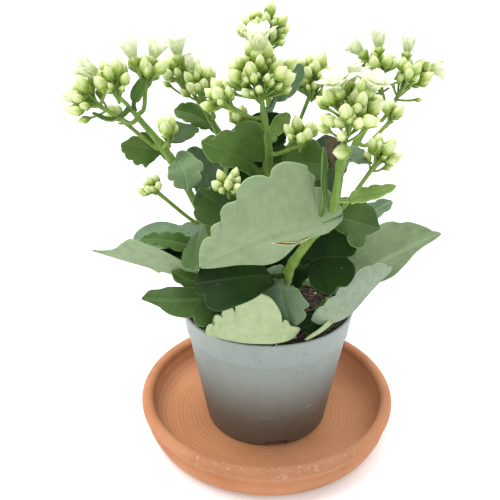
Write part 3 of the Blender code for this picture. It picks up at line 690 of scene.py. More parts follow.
def perlite_finish():
    perlite = Finish("perlite", roughness=0.9)
    place = perlite.place()
    pores = perlite.cloud(place, 1500, 4)
    body = perlite.mix((0.52, 0.50, 0.45), (0.80, 0.79, 0.75), pores.step(0.35, 0.6))
    return perlite.wear(base_color=body, normal=perlite.bump(pores, 0.0004, 0.8))


def root_finish():
    root = Finish("fine_root", roughness=0.8)
    streak = root.cloud(root.place(), 500, 3)
    return root.wear(base_color=root.mix((0.20, 0.10, 0.045), (0.47, 0.30, 0.16), streak.step(0.35, 0.65)))


mix_piece = mix_shape.become("peat_mix", [peat_finish(), perlite_finish(), root_finish()], sharp=80)
settle(mix_piece, "mix", "potting_mix")


# %% [markdown]
# ## The stems' routes
#
# The stems are planned first and modelled last, because every leaf and flower stalk that leaves a
# stem swells it a little into a joint. Each stem remembers where its joints are.

# %% Stems: routes
ROOT_DEPTH = 15.0
FINE_STEPS = 90
GAP = 0.35


class Stem:
    """A shoot's main stem: it rises out of the mix, then follows its route."""

    def __init__(self, name, foot, points, thick, thin):
        x, y = foot
        self.name = name
        rise = [(x, y, MIX_TOP - ROOT_DEPTH), (x, y, MIX_TOP + 3)]
        self.route = smooth_route(rise + points, 4 * (len(points) + 1))
        self.fine = smooth_route(rise + points, FINE_STEPS)
        last = len(self.route) - 1
        self.radii = [thick + (thin - thick) * k / last for k in range(last + 1)]
        self.thick = thick
        self.thin = thin
        self.joints = []

    def at_height(self, height):
        """Axis point, direction and radius where the stem passes a height."""
        heights = [point.z for point in self.route]
        k = max(i for i, z in enumerate(heights[:-1]) if z <= height)
        share = (height - heights[k]) / (heights[k + 1] - heights[k])
        point = self.route[k].lerp(self.route[k + 1], share)
        return point, (self.route[k + 1] - self.route[k]).normalized(), self.radii[k]

    def side(self, height, towards):
        """The heart of a new joint, and two points that lead square off the stem's side."""
        point, direction, radius = self.at_height(height)
        self.joints.append(point)
        aim = Vector(towards) - point
        outward = (aim - direction * aim.dot(direction)).normalized()
        return [point, point + outward * (radius + 3 * GAP), point + outward * (radius + 8 * GAP)]

    def tip(self):
        """The stem's last point, and two points that lead on from it."""
        direction = (self.route[-1] - self.route[-2]).normalized()
        end = self.route[-1]
        return [end - direction, end + direction * 2 * GAP, end + direction * 6 * GAP]


STEM_CENTRE = Stem("stem_centre", (3, -8),
                   [(1, -18, 120), (-1, -26, 155), (-2, -29, 185), (-5, -30, 211)],
                   thick=2.6, thin=1.9)
STEM_RIGHT = Stem("stem_right", (12, -21),
                  [(8, -34, 106), (10, -39, 124), (20, -46, 145), (29, -51, 163),
                   (31, -58, 190), (32, -60, 200)],
                  thick=2.9, thin=1.9)
STEM_LEFT = Stem("stem_left", (-13, -5),
                 [(-25, -9, 115), (-40, -12, 150), (-54, -15, 180), (-72, -15, 204)],
                 thick=2.5, thin=1.7)
STEM_BACK_LEFT = Stem("stem_back_left", (-10, 12),
                      [(-17, 13, 120), (-22, 12, 160), (-28, 13, 184), (-41, 14, 205)],
                      thick=2.2, thin=1.5)
STEM_BACK_RIGHT = Stem("stem_back_right", (16, 6),
                       [(26, -1, 115), (34, -5, 150), (46, -1, 180), (61, 6, 202)],
                       thick=2.4, thin=1.6)
STEM_BEHIND = Stem("stem_behind", (3, 14),
                   [(6, 14, 120), (7, 10, 165), (0, 10, 200), (-2, 16, 232)],
                   thick=2.3, thin=1.5)
STEMS = [STEM_CENTRE, STEM_RIGHT, STEM_LEFT, STEM_BACK_LEFT, STEM_BACK_RIGHT, STEM_BEHIND]
print("stems:", [(stem.name, round(stem.route[-1].z)) for stem in STEMS])

# %% [markdown]
# ## How a leaf is shaped
#
# A kalanchoe's leaf is a fleshy blade with a scalloped margin: each lobe is round, and the notch
# between two lobes is sharp. The blade hangs on its midrib. So the leaf is planned flat, as rows
# that run from the rib to the margin, and each flat spot is then carried to its place beside the
# curved rib, with the two halves folded up or down. Two sheets with a rounded rim between them
# give the flesh, and the stalk runs on under the blade as a ridge.

# %% Leaf: the flat plan
LEAF_SAMPLES = 24               # steps along the curved rib
DRAWN_LOBES = 9                 # a drawn margin gets as many rows as nine lobes would
FLESH = 0.62                    # half the thickness of a blade
COLUMNS = (0.0, 0.07, 0.16, 0.28, 0.42, 0.56, 0.69, 0.80, 0.89, 0.95, 0.985, 1.0)
ROWS_PER_LOBE = 8
EDGE_STEPS = 100
LEAF_INK, TEAR_INK, LIP_INK = range(3)
FIRST_LOBE = 0.2                # the margin is plain from the base to here
TEAR_HALF = 0.60                # half the width of a slit
STALK_ROWS = 8


def slope(value, low, high):
    """0 below low and 1 above high, with a soft slope between."""
    share = min(max((value - low) / (high - low), 0), 1)
    return share * share * (3 - 2 * share)


def blade_turns(lobes):
    """Where the rows meet the margin, from 0 at the base to 1 at the tip. Each notch gets a row."""
    turns = [FIRST_LOBE * k / 9 for k in range(1, 9)]
    steps = lobes * ROWS_PER_LOBE
    return turns + [FIRST_LOBE + (1 - FIRST_LOBE) * k / steps for k in range(steps)] + [0.995]


def scallop(turn, lobes):
    """How deep the margin is pulled in: 0 on a lobe, 1 in a notch. The tip is a lobe of its own."""
    place = ((1 - turn) / (1 - FIRST_LOBE) * lobes + 0.5) % 1.0
    return abs(2 * place ** 1.15 - 1) ** 2.6 * slope(turn, FIRST_LOBE - 0.05, FIRST_LOBE + 0.12)


class Blade:
    """The flat plan of a leaf: its margin on both sides of the rib, in millimetres."""

    def __init__(self, length, width, halves, skew, point, edges):
        self.length = length
        self.width = width
        self.halves = halves
        self.skew = skew
        self.point = point
        self.edges = [None, None]
        self.end = 1.0
        for half in (0, 1):
            if edges:
                marks = [(along, across, 0) for along, across in edges[half]]
                if marks[0][1] > 0:
                    marks.insert(0, (0, 0, 0))
                if marks[-1][1] > 0:
                    marks.append((1, 0, 0))
                self.end = marks[-1][0]
                self.edges[half] = smooth_route(marks, EDGE_STEPS)

    def margin(self, half, turn):
        if self.edges[half]:
            share = turn * EDGE_STEPS
            k = min(int(share), EDGE_STEPS - 1)
            spot = self.edges[half][k].lerp(self.edges[half][k + 1], share - k)
            return spot.x * self.length, spot.y * 0.5 * self.width
        phi = math.pi * turn
        along = self.length * ((1 - math.cos(phi)) / 2) ** self.skew
        across = 0.5 * self.width * math.sin(phi) ** 0.85 * (1 - self.point * turn ** 2)
        return along, across * self.halves[half]

    def rib(self, turn):
        """The rows fan out from here."""
        return self.end * self.length * ((1 - math.cos(math.pi * turn)) / 2) ** self.skew


def add_tear(lump, spots):
    """A slit with two dry lips, its strip dark with torn tissue and painted shadow. Each spot is a place on
    the leaf and the way out of it.
    """
    places = [place for place, outward in spots]
    lips = ([], [])
    slit = []
    last = len(spots) - 1
    for k, ((place, outward), way) in enumerate(zip(spots, tangents(places))):
        across = outward.cross(way).normalized()
        half = TEAR_HALF * math.sin(math.pi * min(k + 0.4, last) / last) ** 0.6
        slit.append([lump.point(place + across * half * j + outward * 0.10) for j in (-1, 0, 1)])
        for lip, side in zip(lips, (-1, 1)):
            lip.append(place + across * (half + 0.08) * side + outward * 0.12)
    lump.skin(slit, TEAR_INK, closed=False)
    for lip in lips:
        add_tube(lump, lip, [0.26] * len(lip), 7, LIP_INK)


# %% [markdown]
# The plan is then bent and thickened. Rows of points go from margin to margin, first along the
# stalk and then across the blade. They are pushed apart along the sheet's normal into an upper and
# a lower sheet, and the rim is stitched shut.

# %% Leaf: the body
def build_leaf(name, start, points, width, face, finish, lobes=4, notch=0.12, folds=(12, 12),
               halves=(1, 1), stalk=0.18, skew=1.0, point=0.0, wave=0.7,
               pleats=0.0, ears=0.0, tear=None, nodes=None):
    """A fleshy leaf along a midrib. The first point of start is in the heart of the stem.

    face is the way its upper side looks. folds are the angles by which its halves rise from flat,
    halves are how much of the full width each has, and stalk is the share of the midrib that is
    leaf stalk. lobes are counted on one side. A leaf in HAND_DRAWN has its own margins instead.
    ears bend the lobes behind the blade's base, and tear is the route of a slit in the underside.
    nodes are the CAD nodes that the leaf stands for, and by default the one of its own name.
    """
    heart, start = start[0], start[1:]
    rib = smooth_route(list(start) + [Vector(p) for p in points], LEAF_SAMPLES)
    ways = tangents(rib)
    length = sum((b - a).length for a, b in zip(rib, rib[1:]))
    stalk_length = stalk * length
    drawn = HAND_DRAWN.get(name)
    notch = 0.0 if drawn else notch
    lobes = DRAWN_LOBES if drawn else lobes
    blade = Blade(length - stalk_length, width, halves, skew, point, drawn)
    stalk_half = 0.5 * max(2.2, 0.07 * width)
    root = (rib[0] - heart).length
    seed = Vector((len(name) * 3.7, sum(map(ord, name)) % 17, 0))

    def carry(along, across, share, turn):
        """From the flat plan to the place beside the curved rib."""
        where = min(max(along / length, 0), 1) * LEAF_SAMPLES
        k = min(int(where), LEAF_SAMPLES - 1)
        middle = rib[k].lerp(rib[k + 1], where - k)
        way = ways[k].lerp(ways[k + 1], where - k).normalized()
        middle = middle + way * (min(along, 0) + max(along - length, 0))
        sideways = Vector(face).cross(way).normalized()
        upward = way.cross(sideways)
        fold = math.radians(folds[0 if across > 0 else 1])
        bend = math.sqrt(across * across + 2.0) - math.sqrt(2.0)
        ripple = wave * share ** 2 * noise.noise(Vector((turn * 4.2, across * 0.05, 0)) + seed)
        swell = 0.9 * wave * share * noise.noise(Vector((along * 0.05, across * 0.09, 4)) + seed)
        fluted = pleats * share * (1 - share) * 4 * math.sin(across * 1.15) * slope(turn, 0.02, 0.3)
        behind_base = max(stalk_length - along, 0) if turn >= 0 else 0
        lift = bend * math.sin(fold) + ripple * 2 + swell + fluted - ears * behind_base
        return middle + sideways * across * math.cos(fold) + upward * lift

    rows = []
    for k in range(STALK_ROWS):
        along = -root + (root + stalk_length) * k / STALK_ROWS
        clasp = 1 + 0.6 * (1 - k / (STALK_ROWS - 1)) ** 3
        rows.append([(along, stalk_half * clasp * s * side, s, -0.001, k / STALK_ROWS - 1)
                     for side in (-1, 1) for s in (reversed(COLUMNS) if side < 0 else COLUMNS[1:])])
    for turn in [0.0] + blade_turns(lobes):
        row = []
        for side in (-1, 1):
            edge_along, edge_across = blade.margin(0 if side > 0 else 1, turn)
            if edge_along >= 0:
                edge_across = max(edge_across, stalk_half * (1 - turn))
            hub = blade.rib(turn)
            reach = math.hypot(edge_along - hub, edge_across)
            pull = min(scallop(turn, lobes) * notch * 0.5 * width / max(reach, 0.1), 0.6)
            for s in (reversed(COLUMNS) if side < 0 else COLUMNS[1:]):
                spread = s * (1 - pull * s ** 4)
                along = stalk_length + hub + (edge_along - hub) * spread
                row.append((along, edge_across * spread * side, s, turn, turn))
        rows.append(row)

    middle = [[carry(along, across, s, turn) for along, across, s, turn, mark in row] for row in rows]
    last_row, last_column = len(rows) - 1, len(rows[0]) - 1
    lump = Lump()
    above, below = [], []
    for n, row in enumerate(rows):
        upper_row, lower_row = [], []
        for j, (along, across, s, turn, mark) in enumerate(row):
            lengthwise = middle[min(n + 1, last_row)][j] - middle[max(n - 1, 0)][j]
            crosswise = middle[n][min(j + 1, last_column)] - middle[n][max(j - 1, 0)]
            normal = lengthwise.cross(crosswise)
            normal = normal.normalized() if normal.length > 1e-6 else Vector(face)
            on_stalk = 1 - slope(turn, 0.0, 0.10)
            flesh = FLESH * (1 - 0.5 * s ** 6) * (1 - on_stalk)
            bar = math.exp(-(across / (1.15 * stalk_half)) ** 2)
            ridge = stalk_half * 1.1 * bar * (1 - turn) ** 1.2 * (1 - on_stalk)
            rounded = 0.85 * stalk_half * math.sqrt(max(1 - s * s, 0.02)) * on_stalk
            groove = 0.3 * bar * (1 - turn) * (1 - on_stalk)
            reads = {"rim": s, "along": mark, "off_rib": abs(across) / blade.length}
            top = middle[n][j] + normal * (flesh + rounded - groove)
            bottom = middle[n][j] - normal * (flesh + rounded + ridge)
            upper_row.append(lump.point(top, upper=1.0, **reads))
            lower_row.append(lump.point(bottom, upper=0.0, **reads))
        above.append(upper_row)
        below.append(lower_row)
    lump.skin(above, LEAF_INK, closed=False)
    lump.skin(below, LEAF_INK, closed=False)
    rim = []
    for n in range(last_row + 1):
        for j, near in ((0, 1), (last_column, last_column - 1)):
            outward = (middle[n][j] - middle[n][near]).normalized()
            along, across, s, turn, mark = rows[n][j]
            place = 0.5 * (lump.points[above[n][j]] + lump.points[below[n][j]]) + outward * 0.32
            off_rib = abs(across) / blade.length
            rim.append(lump.point(place, upper=0.5, rim=1.0, along=mark, off_rib=off_rib))
    left, right = rim[0::2], rim[1::2]
    for n in range(last_row):
        lump.face((above[n][0], above[n + 1][0], left[n + 1], left[n]))
        lump.face((left[n], left[n + 1], below[n + 1][0], below[n][0]))
        lump.face((above[n + 1][last_column], above[n][last_column], right[n], right[n + 1]))
        lump.face((right[n + 1], right[n], below[n][last_column], below[n + 1][last_column]))
    for n in (0, last_row):
        for j in range(last_column):
            lump.face((above[n][j], above[n][j + 1], below[n][j + 1], below[n][j]))
        lump.face((above[n][0], below[n][0], left[n]))
        lump.face((above[n][last_column], right[n], below[n][last_column]))
    if tear:
        spots = []
        for spot in smooth_route([(along, across, 0) for along, across in tear], 20):
            along, across = stalk_length + spot.x * blade.length, spot.y * 0.5 * width
            place = carry(along, across, 0.5, 0.5)
            lengthwise = carry(along + 1, across, 0.5, 0.5) - place
            crosswise = carry(along, across + 1, 0.5, 0.5) - place
            outward = crosswise.cross(lengthwise).normalized()
            spots.append((place + outward * 0.75, outward))
        add_tear(lump, spots)
    finishes = [LEAF_FINISHES[finish], TEAR_FINISH, LIP_FINISH] if tear else [LEAF_FINISHES[finish]]
    piece = lump.become(name + "_blade", finishes, sharp=180)
    cad_nodes = [name] if nodes is None else nodes
    return settle(piece, "leaf_pale" if name in PALE_NODES else "leaf", *cad_nodes)


# %% [markdown]
# A leaf's skin is waxy. Its upper side is green and satin, with a paler midrib and faint side veins
# that leave it at a slant. The underside is grey-green and matte, since a thin bloom of wax lies on
# it. The rim is a little paler where the light shines through. Each kind of leaf is one finish: leaves
# deep in the plant's shade get a nearly black-green that is painted shade, and young ones yellow-green.

# %% Leaf: finishes
def leaf_finish(name, top, deep, under, under_deep, shine, gloss, bruise=0.0):
    """top and deep are the two tones of the upper side, under and under_deep of the underside.

    shine is the roughness of the upper side, and bruise says how strong its brown streaks are.
    """
    leaf = Finish(name, roughness=shine, specular_ior_level=gloss)
    place = leaf.place()
    upper, rim = leaf.reading("upper"), leaf.reading("rim")
    along, off_rib = leaf.reading("along"), leaf.reading("off_rib")
    slant = ((along - off_rib * 0.9) * 6.5).fraction()
    wander = leaf.cloud(place, 120, 2) * 0.10
    side_vein = ((slant + wander - 0.55).size()).step(0.43, 0.50) * off_rib.step(0.01, 0.06)
    main_vein = off_rib.step(0.030, 0.006) * rim.step(0.9, 0.5)
    veins = side_vein * 0.45 + main_vein
    broad = leaf.cloud(place, 55, 4)
    fine = leaf.cloud(place, 700, 4, 0.6)
    bloom = leaf.cloud(place, 210, 5, 0.65)
    top_side = leaf.mix(deep, top, (broad * 0.7 + bloom * 0.3).step(0.32, 0.66))
    pale = tuple(min(value * 1.5 + 0.02, 0.8) for value in top)
    top_side = leaf.mix(top_side, pale, veins * 0.32)
    low_side = leaf.mix(under_deep, under, (bloom * 0.6 + broad * 0.4).step(0.36, 0.62))
    low_side = leaf.mix(low_side, tuple(value * 0.80 for value in under), veins * 0.18)
    low_side = leaf.mix(low_side, tuple(value * 1.12 for value in under), fine.step(0.55, 0.75) * 0.4)
    body = leaf.mix(low_side, top_side, upper.step(0.25, 0.75))
    edge = tuple(min(value * 1.7 + 0.03, 0.7) for value in top)
    body = leaf.mix(body, edge, rim.step(0.965, 1.0) * 0.55)
    specks = leaf.grains(place, 130).step(0.065, 0.03)
    body = leaf.mix(body, (0.30, 0.30, 0.20), specks * 0.35)
    if bruise:
        streaks = leaf.cloud(leaf.stretched(place, (1, 1, 0.35)), 170, 4).step(0.45, 0.62)
        body = leaf.mix(body, (0.230, 0.130, 0.085), streaks * bruise)
        body = leaf.mix(body, (0.36, 0.24, 0.15), streaks * fine.step(0.5, 0.7) * bruise * 0.6)
    rough = (0.66 - upper * (0.66 - shine)) + bloom * 0.10 - 0.05
    height = fine * 0.30 + bloom * 0.45 - veins * (upper - 0.5) * 1.3
    return leaf.wear(base_color=body, roughness=rough, normal=leaf.bump(height, 0.00035, 0.7))


def dry_finish(name, tint, shade):
    dry = Finish(name, roughness=0.85)
    fibre = dry.cloud(dry.place(), 900, 4)
    body = dry.mix(shade, tint, fibre.step(0.35, 0.65))
    return dry.wear(base_color=body, normal=dry.bump(fibre, 0.0002, 0.6))


# painted shadow: the slit's near-black brown is partly torn tissue and partly the shade inside the crack
TEAR_FINISH = dry_finish("torn_flesh", (0.110, 0.062, 0.026), (0.040, 0.020, 0.010))
LIP_FINISH = dry_finish("dry_lip", (0.600, 0.590, 0.330), (0.440, 0.400, 0.170))

LEAF_FINISHES = {
    # painted shade: this finish is leaf green darkened to near black for leaves that sit in shade
    "shaded": leaf_finish("leaf_shaded", (0.011, 0.036, 0.004), (0.004, 0.016, 0.002),
                          (0.060, 0.110, 0.036), (0.040, 0.080, 0.024), 0.52, gloss=0.08),
    "deep": leaf_finish("leaf_deep", (0.060, 0.118, 0.026), (0.030, 0.070, 0.014),
                        (0.15, 0.23, 0.11), (0.11, 0.18, 0.08), 0.46, gloss=0.2),
    "green": leaf_finish("leaf_green", (0.088, 0.170, 0.028), (0.045, 0.102, 0.016),
                         (0.20, 0.29, 0.15), (0.15, 0.23, 0.11), 0.44, gloss=0.25),
    "fresh": leaf_finish("leaf_fresh", (0.225, 0.345, 0.085), (0.130, 0.235, 0.040),
                         (0.30, 0.42, 0.19), (0.24, 0.35, 0.15), 0.44, gloss=0.3),
    "blue": leaf_finish("leaf_blue", (0.120, 0.200, 0.098), (0.066, 0.120, 0.058),
                        (0.24, 0.33, 0.20), (0.19, 0.27, 0.16), 0.48, gloss=0.3),
    "grey": leaf_finish("leaf_grey", (0.195, 0.270, 0.135), (0.120, 0.185, 0.082),
                        (0.42, 0.50, 0.36), (0.34, 0.42, 0.28), 0.50, gloss=0.3),
    "silver": leaf_finish("leaf_silver", (0.150, 0.235, 0.100), (0.090, 0.160, 0.065),
                          (0.245, 0.325, 0.180), (0.198, 0.275, 0.142), 0.50, gloss=0.3),
    "cream": leaf_finish("leaf_cream", (0.140, 0.210, 0.085), (0.085, 0.145, 0.050),
                         (0.400, 0.480, 0.275), (0.320, 0.405, 0.205), 0.50, gloss=0.3),
    "frosted": leaf_finish("leaf_frosted", (0.250, 0.330, 0.200), (0.160, 0.235, 0.120),
                           (0.300, 0.372, 0.272), (0.235, 0.305, 0.205), 0.46, gloss=0.3),
    "scarred": leaf_finish("leaf_scarred", (0.050, 0.090, 0.040), (0.026, 0.052, 0.024),
                           (0.14, 0.18, 0.10), (0.09, 0.12, 0.07), 0.55, bruise=0.75, gloss=0.2),
}
PALE_NODES = {"leaf_front_broad", "leaf_front_fan", "leaf_right_folded", "leaf_left_drooping",
              "leaf_left_pale"}
print("leaf finishes:", sorted(LEAF_FINISHES))

# %% [markdown]
# ## Buds, flowers and their stalks
#
# A kalanchoe's flower has four petals. In bud they are wrapped round each other, so a bud is a plump
# egg with four twisted seams, held at its base by four small green sepals. Each bud is turned from
# a profile, with every fourth point pulled in to make a seam that winds upwards. The double flowers
# have several rings of pointed petals.

# %% Buds: one bud
BUD_OUTLINE = ((0.0, 0.24), (0.05, 0.36), (0.13, 0.56), (0.23, 0.78), (0.33, 0.93), (0.43, 1.0),
               (0.53, 0.99), (0.63, 0.91), (0.73, 0.76), (0.82, 0.57), (0.90, 0.36), (0.96, 0.18),
               (1.0, 0.05))
BUD_TWIST = 0.9
BUD_SIDES = 16
STALK_INK, BUD_INK, SEPAL_INK, PETAL_INK = range(4)


def add_bud(lump, base, way, length, girth, turned=0.0):
    """A closed bud with four winding seams."""
    first, second = ring_frame(way)
    loops = []
    for share, radius in BUD_OUTLINE:
        loop = []
        for k in range(BUD_SIDES):
            angle = math.tau * k / BUD_SIDES + BUD_TWIST * share + turned
            seam = 1.0 if k % 4 == 0 else 0.0
            out = girth * radius * (1 - 0.11 * seam + (0.03 if k % 4 == 2 else 0))
            offset = (math.cos(angle) * first + math.sin(angle) * second) * out
            loop.append(lump.point(base + way * length * share + offset, grow=share, seam=seam))
        loops.append(loop)
    lump.skin(loops, BUD_INK)
    lump.face(list(reversed(loops[0])), BUD_INK)
    tip = lump.point(base + way * length * 1.03, grow=1.0)
    for k in range(BUD_SIDES):
        lump.face((loops[-1][k], loops[-1][(k + 1) % BUD_SIDES], tip), BUD_INK)


def add_sepals(lump, base, way, length, girth, flare=0.15, turned=0.0):
    """Four small green blades that hold the bud's base."""
    first, second = ring_frame(way)
    for quarter in range(4):
        middle = math.tau * (quarter + 0.5) / 4 + turned
        sheets = []
        for skin in (0.32, -0.25):
            rows = []
            for k in range(5):
                rise = k / 4
                share = 0.02 + 0.46 * rise
                hug = 0.26 + 0.76 * math.sin(min(share / 0.46, 1) * math.pi / 2)
                out = girth * (hug + flare * rise ** 2) + skin * (1 - 0.5 * rise)
                row = []
                for j in range(5):
                    across = (j - 2) / 2
                    angle = middle + across * 0.72 * (1 - rise ** 1.6)
                    offset = (math.cos(angle) * first + math.sin(angle) * second) * out
                    place = base + way * (length * share) + offset
                    row.append(lump.point(place, grow=rise, seam=abs(across)))
                rows.append(row)
            sheets.append(rows)
            lump.skin(rows, SEPAL_INK, closed=False)
        outer, inner = sheets
        for n in range(4):
            for j in (0, 4):
                lump.face((outer[n][j], outer[n + 1][j], inner[n + 1][j], inner[n][j]), SEPAL_INK)
        for n in (0, 4):
            for j in range(4):
                lump.face((outer[n][j], outer[n][j + 1], inner[n][j + 1], inner[n][j]), SEPAL_INK)


# %% [markdown]
# A petal is a long cupped blade with a pointed tip. The same blade, small and green, makes the
# bracts under a head.

# %% Flowers: one petal, and rings of petals
PETAL_RINGS = 3
PETAL_STEPS = 8                 # along a petal
PETAL_HALF = 3                  # steps from its middle to its edge


def add_petal(lump, base, way, outward, length, width, opening, cup=0.22, ink=PETAL_INK):
    """A pointed petal that rises from its base and bends outwards."""
    side = way.cross(outward).normalized()
    sheets = [[], []]
    for n in range(PETAL_STEPS + 1):
        rise = n / PETAL_STEPS
        bend = opening * (0.25 + 0.75 * rise)
        heading = way * math.cos(bend) + outward * math.sin(bend)
        place = base + heading * length * rise + outward * 0.5
        facing = way * math.sin(bend) - outward * math.cos(bend)
        half = 0.5 * width * math.sin(math.pi * min(0.10 + 0.90 * rise ** 1.2, 1)) ** 0.7
        half = max(half, 0.06)
        for skin, thick in ((0, 0.16), (1, -0.16)):
            row = []
            for j in range(2 * PETAL_HALF + 1):
                across = (j - PETAL_HALF) / PETAL_HALF
                lift = cup * half * across ** 2 + thick * (1 - 0.7 * abs(across))
                row.append(lump.point(place + side * across * half + facing * lift,
                                      grow=rise, seam=abs(across)))
            sheets[skin].append(row)
    upper, lower = sheets
    lump.skin(upper, ink, closed=False)
    lump.skin(lower, ink, closed=False)
    for n in range(PETAL_STEPS):
        for j in (0, 2 * PETAL_HALF):
            lump.face((upper[n][j], upper[n + 1][j], lower[n + 1][j], lower[n][j]), ink)
    for n in (0, PETAL_STEPS):
        for j in range(2 * PETAL_HALF):
            lump.face((upper[n][j], upper[n][j + 1], lower[n][j + 1], lower[n][j]), ink)


def add_flower(lump, base, way, size, opening, draw):
    """A double flower: each ring of petals inside stands a little more upright."""
    first, second = ring_frame(way)
    add_bud(lump, base, way, 0.45 * size, 0.16 * size)
    add_sepals(lump, base, way, 0.55 * size, 0.17 * size, flare=0.4)
    throat = base + way * 0.24 * size
    for ring in range(PETAL_RINGS):
        petals = 6 if ring < PETAL_RINGS - 1 else 4
        for petal in range(petals):
            angle = math.tau * (petal + 0.5 * ring) / petals + draw.uniform(-0.12, 0.12)
            outward = math.cos(angle) * first + math.sin(angle) * second
            length = size * (0.80 - 0.10 * ring) * draw.uniform(0.92, 1.06)
            tilt = opening * (1 - 0.30 * ring) * draw.uniform(0.88, 1.12)
            add_petal(lump, throat + way * 0.3 * ring, way, outward, length, 0.42 * size, tilt)


def add_bract(lump, base, way, face_way, length, width):
    """A small spoon-shaped leaf under a branch."""
    way = way.normalized()
    outward = (Vector(face_way) - way * way.dot(Vector(face_way))).normalized()
    add_petal(lump, base, way, outward, length, width, 0.35, cup=0.35, ink=SEPAL_INK)


# %% [markdown]
# A whole head is a cyme. Its stalk splits into a few branches, and each branch splits again into the
# short stalks of single buds. Buds of one branch share the same bend, so that their stalks part
# from each other instead of all leaving one spot. Small late buds sit in the forks, and a skirt of
# them hangs below the hub of a full head.

# %% Heads: a whole cyme
BRANCHES = 4
HEAD_STALK = 1.1                # radius of the stalk below the hub


def curve_between(start, bend, end, steps):
    """A quadratic curve that starts towards its bend."""
    route = []
    for k in range(steps + 1):
        t = k / steps
        route.append(start * (1 - t) ** 2 + bend * (2 * t * (1 - t)) + end * t ** 2)
    return route


def build_cyme(name, start, hub, axis, buds, reach, size, spread, seed, flowers=(), skirt=0):
    """One flower head: the same buds as in the CAD model, on branched stalks.

    flowers are the open ones: for each its base, the way it looks, its size and how far it opens.
    skirt is the number of small late buds around the hub.
    """
    draw = random.Random(seed)          # stays in step with the CAD model's buds
    late = random.Random(seed + 1)      # draws everything else
    hub = Vector(hub)
    axis = Vector(axis).normalized()
    first, second = ring_frame(axis)
    lump = Lump()
    route = smooth_route(list(start) + [hub], 14) + [hub + axis * HEAD_STALK]
    radii = [HEAD_STALK * (1.12 - 0.12 * min(k / 4, 1) + 0.18 * max(k - 11, 0) / 4)
             for k in range(len(route))]
    add_tube(lump, route, radii, 10, STALK_INK, grow=0.0)
    for k in range(buds):
        lean = math.acos(1 - (k + 0.3) / buds * (1 - math.cos(math.radians(spread))))
        turn = GOLDEN_ANGLE * k + draw.uniform(-0.25, 0.25)
        sideways = first * math.cos(turn) + second * math.sin(turn)
        way = axis * math.cos(lean) + sideways * math.sin(lean)
        length = size * draw.uniform(0.85, 1.15)
        foot = reach * draw.uniform(0.75, 1.1)
        slim = late.uniform(0.80, 1.04)
        foot = foot + 0.5 * length * (1 - slim)
        length = length * slim
        girth = late.uniform(0.285, 0.325) * length
        branch = round(turn / math.tau * BRANCHES) % BRANCHES
        branch_turn = branch * math.tau / BRANCHES
        heading = first * math.cos(branch_turn) + second * math.sin(branch_turn)
        fork = hub + (axis * 1.1 + heading * math.sin(lean)).normalized() * 0.5 * foot
        leave = hub - axis * (0.8 + 0.9 * branch)
        base = hub + way * foot
        bud_way = (way + UP * 0.25).normalized()
        twig = curve_between(leave, fork, base, 7) + [base + bud_way * 0.6]
        radius = 0.45 + 0.022 * length
        radii = [radius * k for k in (1.3, 1.2, 1.1, 1.0, 1.0, 1.0, 1.1, 1.3)] + [0.34 * girth]
        add_tube(lump, twig, radii, 8, STALK_INK, grow=0.5)
        turned = late.uniform(0, math.tau)
        add_bud(lump, base, bud_way, length, girth, turned=turned)
        add_sepals(lump, base, bud_way, length, girth, turned=turned + 0.4)
        for sibling in range(late.choice((1, 2, 2))):
            small = size * late.uniform(0.40, 0.86)
            aside = way + sideways * late.uniform(-0.6, 0.6) + way.cross(axis) * late.uniform(-0.8, 0.8)
            aside = (aside + axis * 0.1).normalized()
            perch = hub + aside * foot * late.uniform(0.55, 1.0)
            knee = fork.lerp(perch, 0.5) - aside * 0.3
            twig = curve_between(fork, knee, perch, 5)
            add_tube(lump, twig, [0.5] * 4 + [0.6, 0.7], 7, STALK_INK, grow=0.4)
            rise = (aside + UP * 0.3).normalized()
            add_bud(lump, perch, rise, small, 0.31 * small, turned=aside.x)
            add_sepals(lump, perch, rise, small, 0.31 * small, turned=aside.x)
    for k in range(skirt):
        turn = GOLDEN_ANGLE * k + 1.0
        lean = math.radians(late.uniform(56, 96))
        sideways = first * math.cos(turn) + second * math.sin(turn)
        way = axis * math.cos(lean) + sideways * math.sin(lean)
        small = size * late.uniform(0.45, 0.80)
        perch = hub - axis * 2 + way * reach * late.uniform(0.60, 1.0)
        leave = hub - axis * late.uniform(4, 7)
        knee = leave.lerp(perch, 0.5) + sideways * 0.8 - axis * 0.6
        twig = curve_between(leave, knee, perch, 6)
        add_tube(lump, twig, [0.6] * 6 + [0.8], 7, STALK_INK, grow=0.3)
        rise = (way + UP * 0.5).normalized()
        add_bud(lump, perch, rise, small, 0.27 * small, turned=turn)
        add_sepals(lump, perch, rise, 1.1 * small, 0.27 * small, turned=turn + 0.4)
    for base, way, flower_size, opening in flowers:
        base, way = Vector(base), Vector(way).normalized()
        twig = curve_between(hub - axis * 1.5, hub.lerp(base, 0.5) - way * 1.0, base, 8)
        add_tube(lump, twig, [0.9] * 7 + [1.0, 1.2], 9, STALK_INK, grow=0.5)
        add_flower(lump, base, way, flower_size, opening, late)
    for side in (-1, 1):
        out = (first * side + second * late.uniform(-0.4, 0.4)).normalized()
        add_bract(lump, hub - axis * 2.2, (axis + out * 1.3), axis, size * late.uniform(0.45, 0.7), 1.9)
    return settle(lump.become(name + "_cyme", HEAD_FINISHES, sharp=70), "flower_head", name)


def build_bud(name, route, way, length, girth):
    """A bud on its own, at the end of a thin stalk."""
    lump = Lump()
    way = Vector(way).normalized()
    route = smooth_route(route, 8)
    add_tube(lump, route, [0.8] * len(route), 9, STALK_INK, grow=0.4)
    add_bud(lump, route[-1], way, length, girth)
    add_sepals(lump, route[-1], way, length, girth)
    return settle(lump.become(name, HEAD_FINISHES, sharp=70), "flower_head")
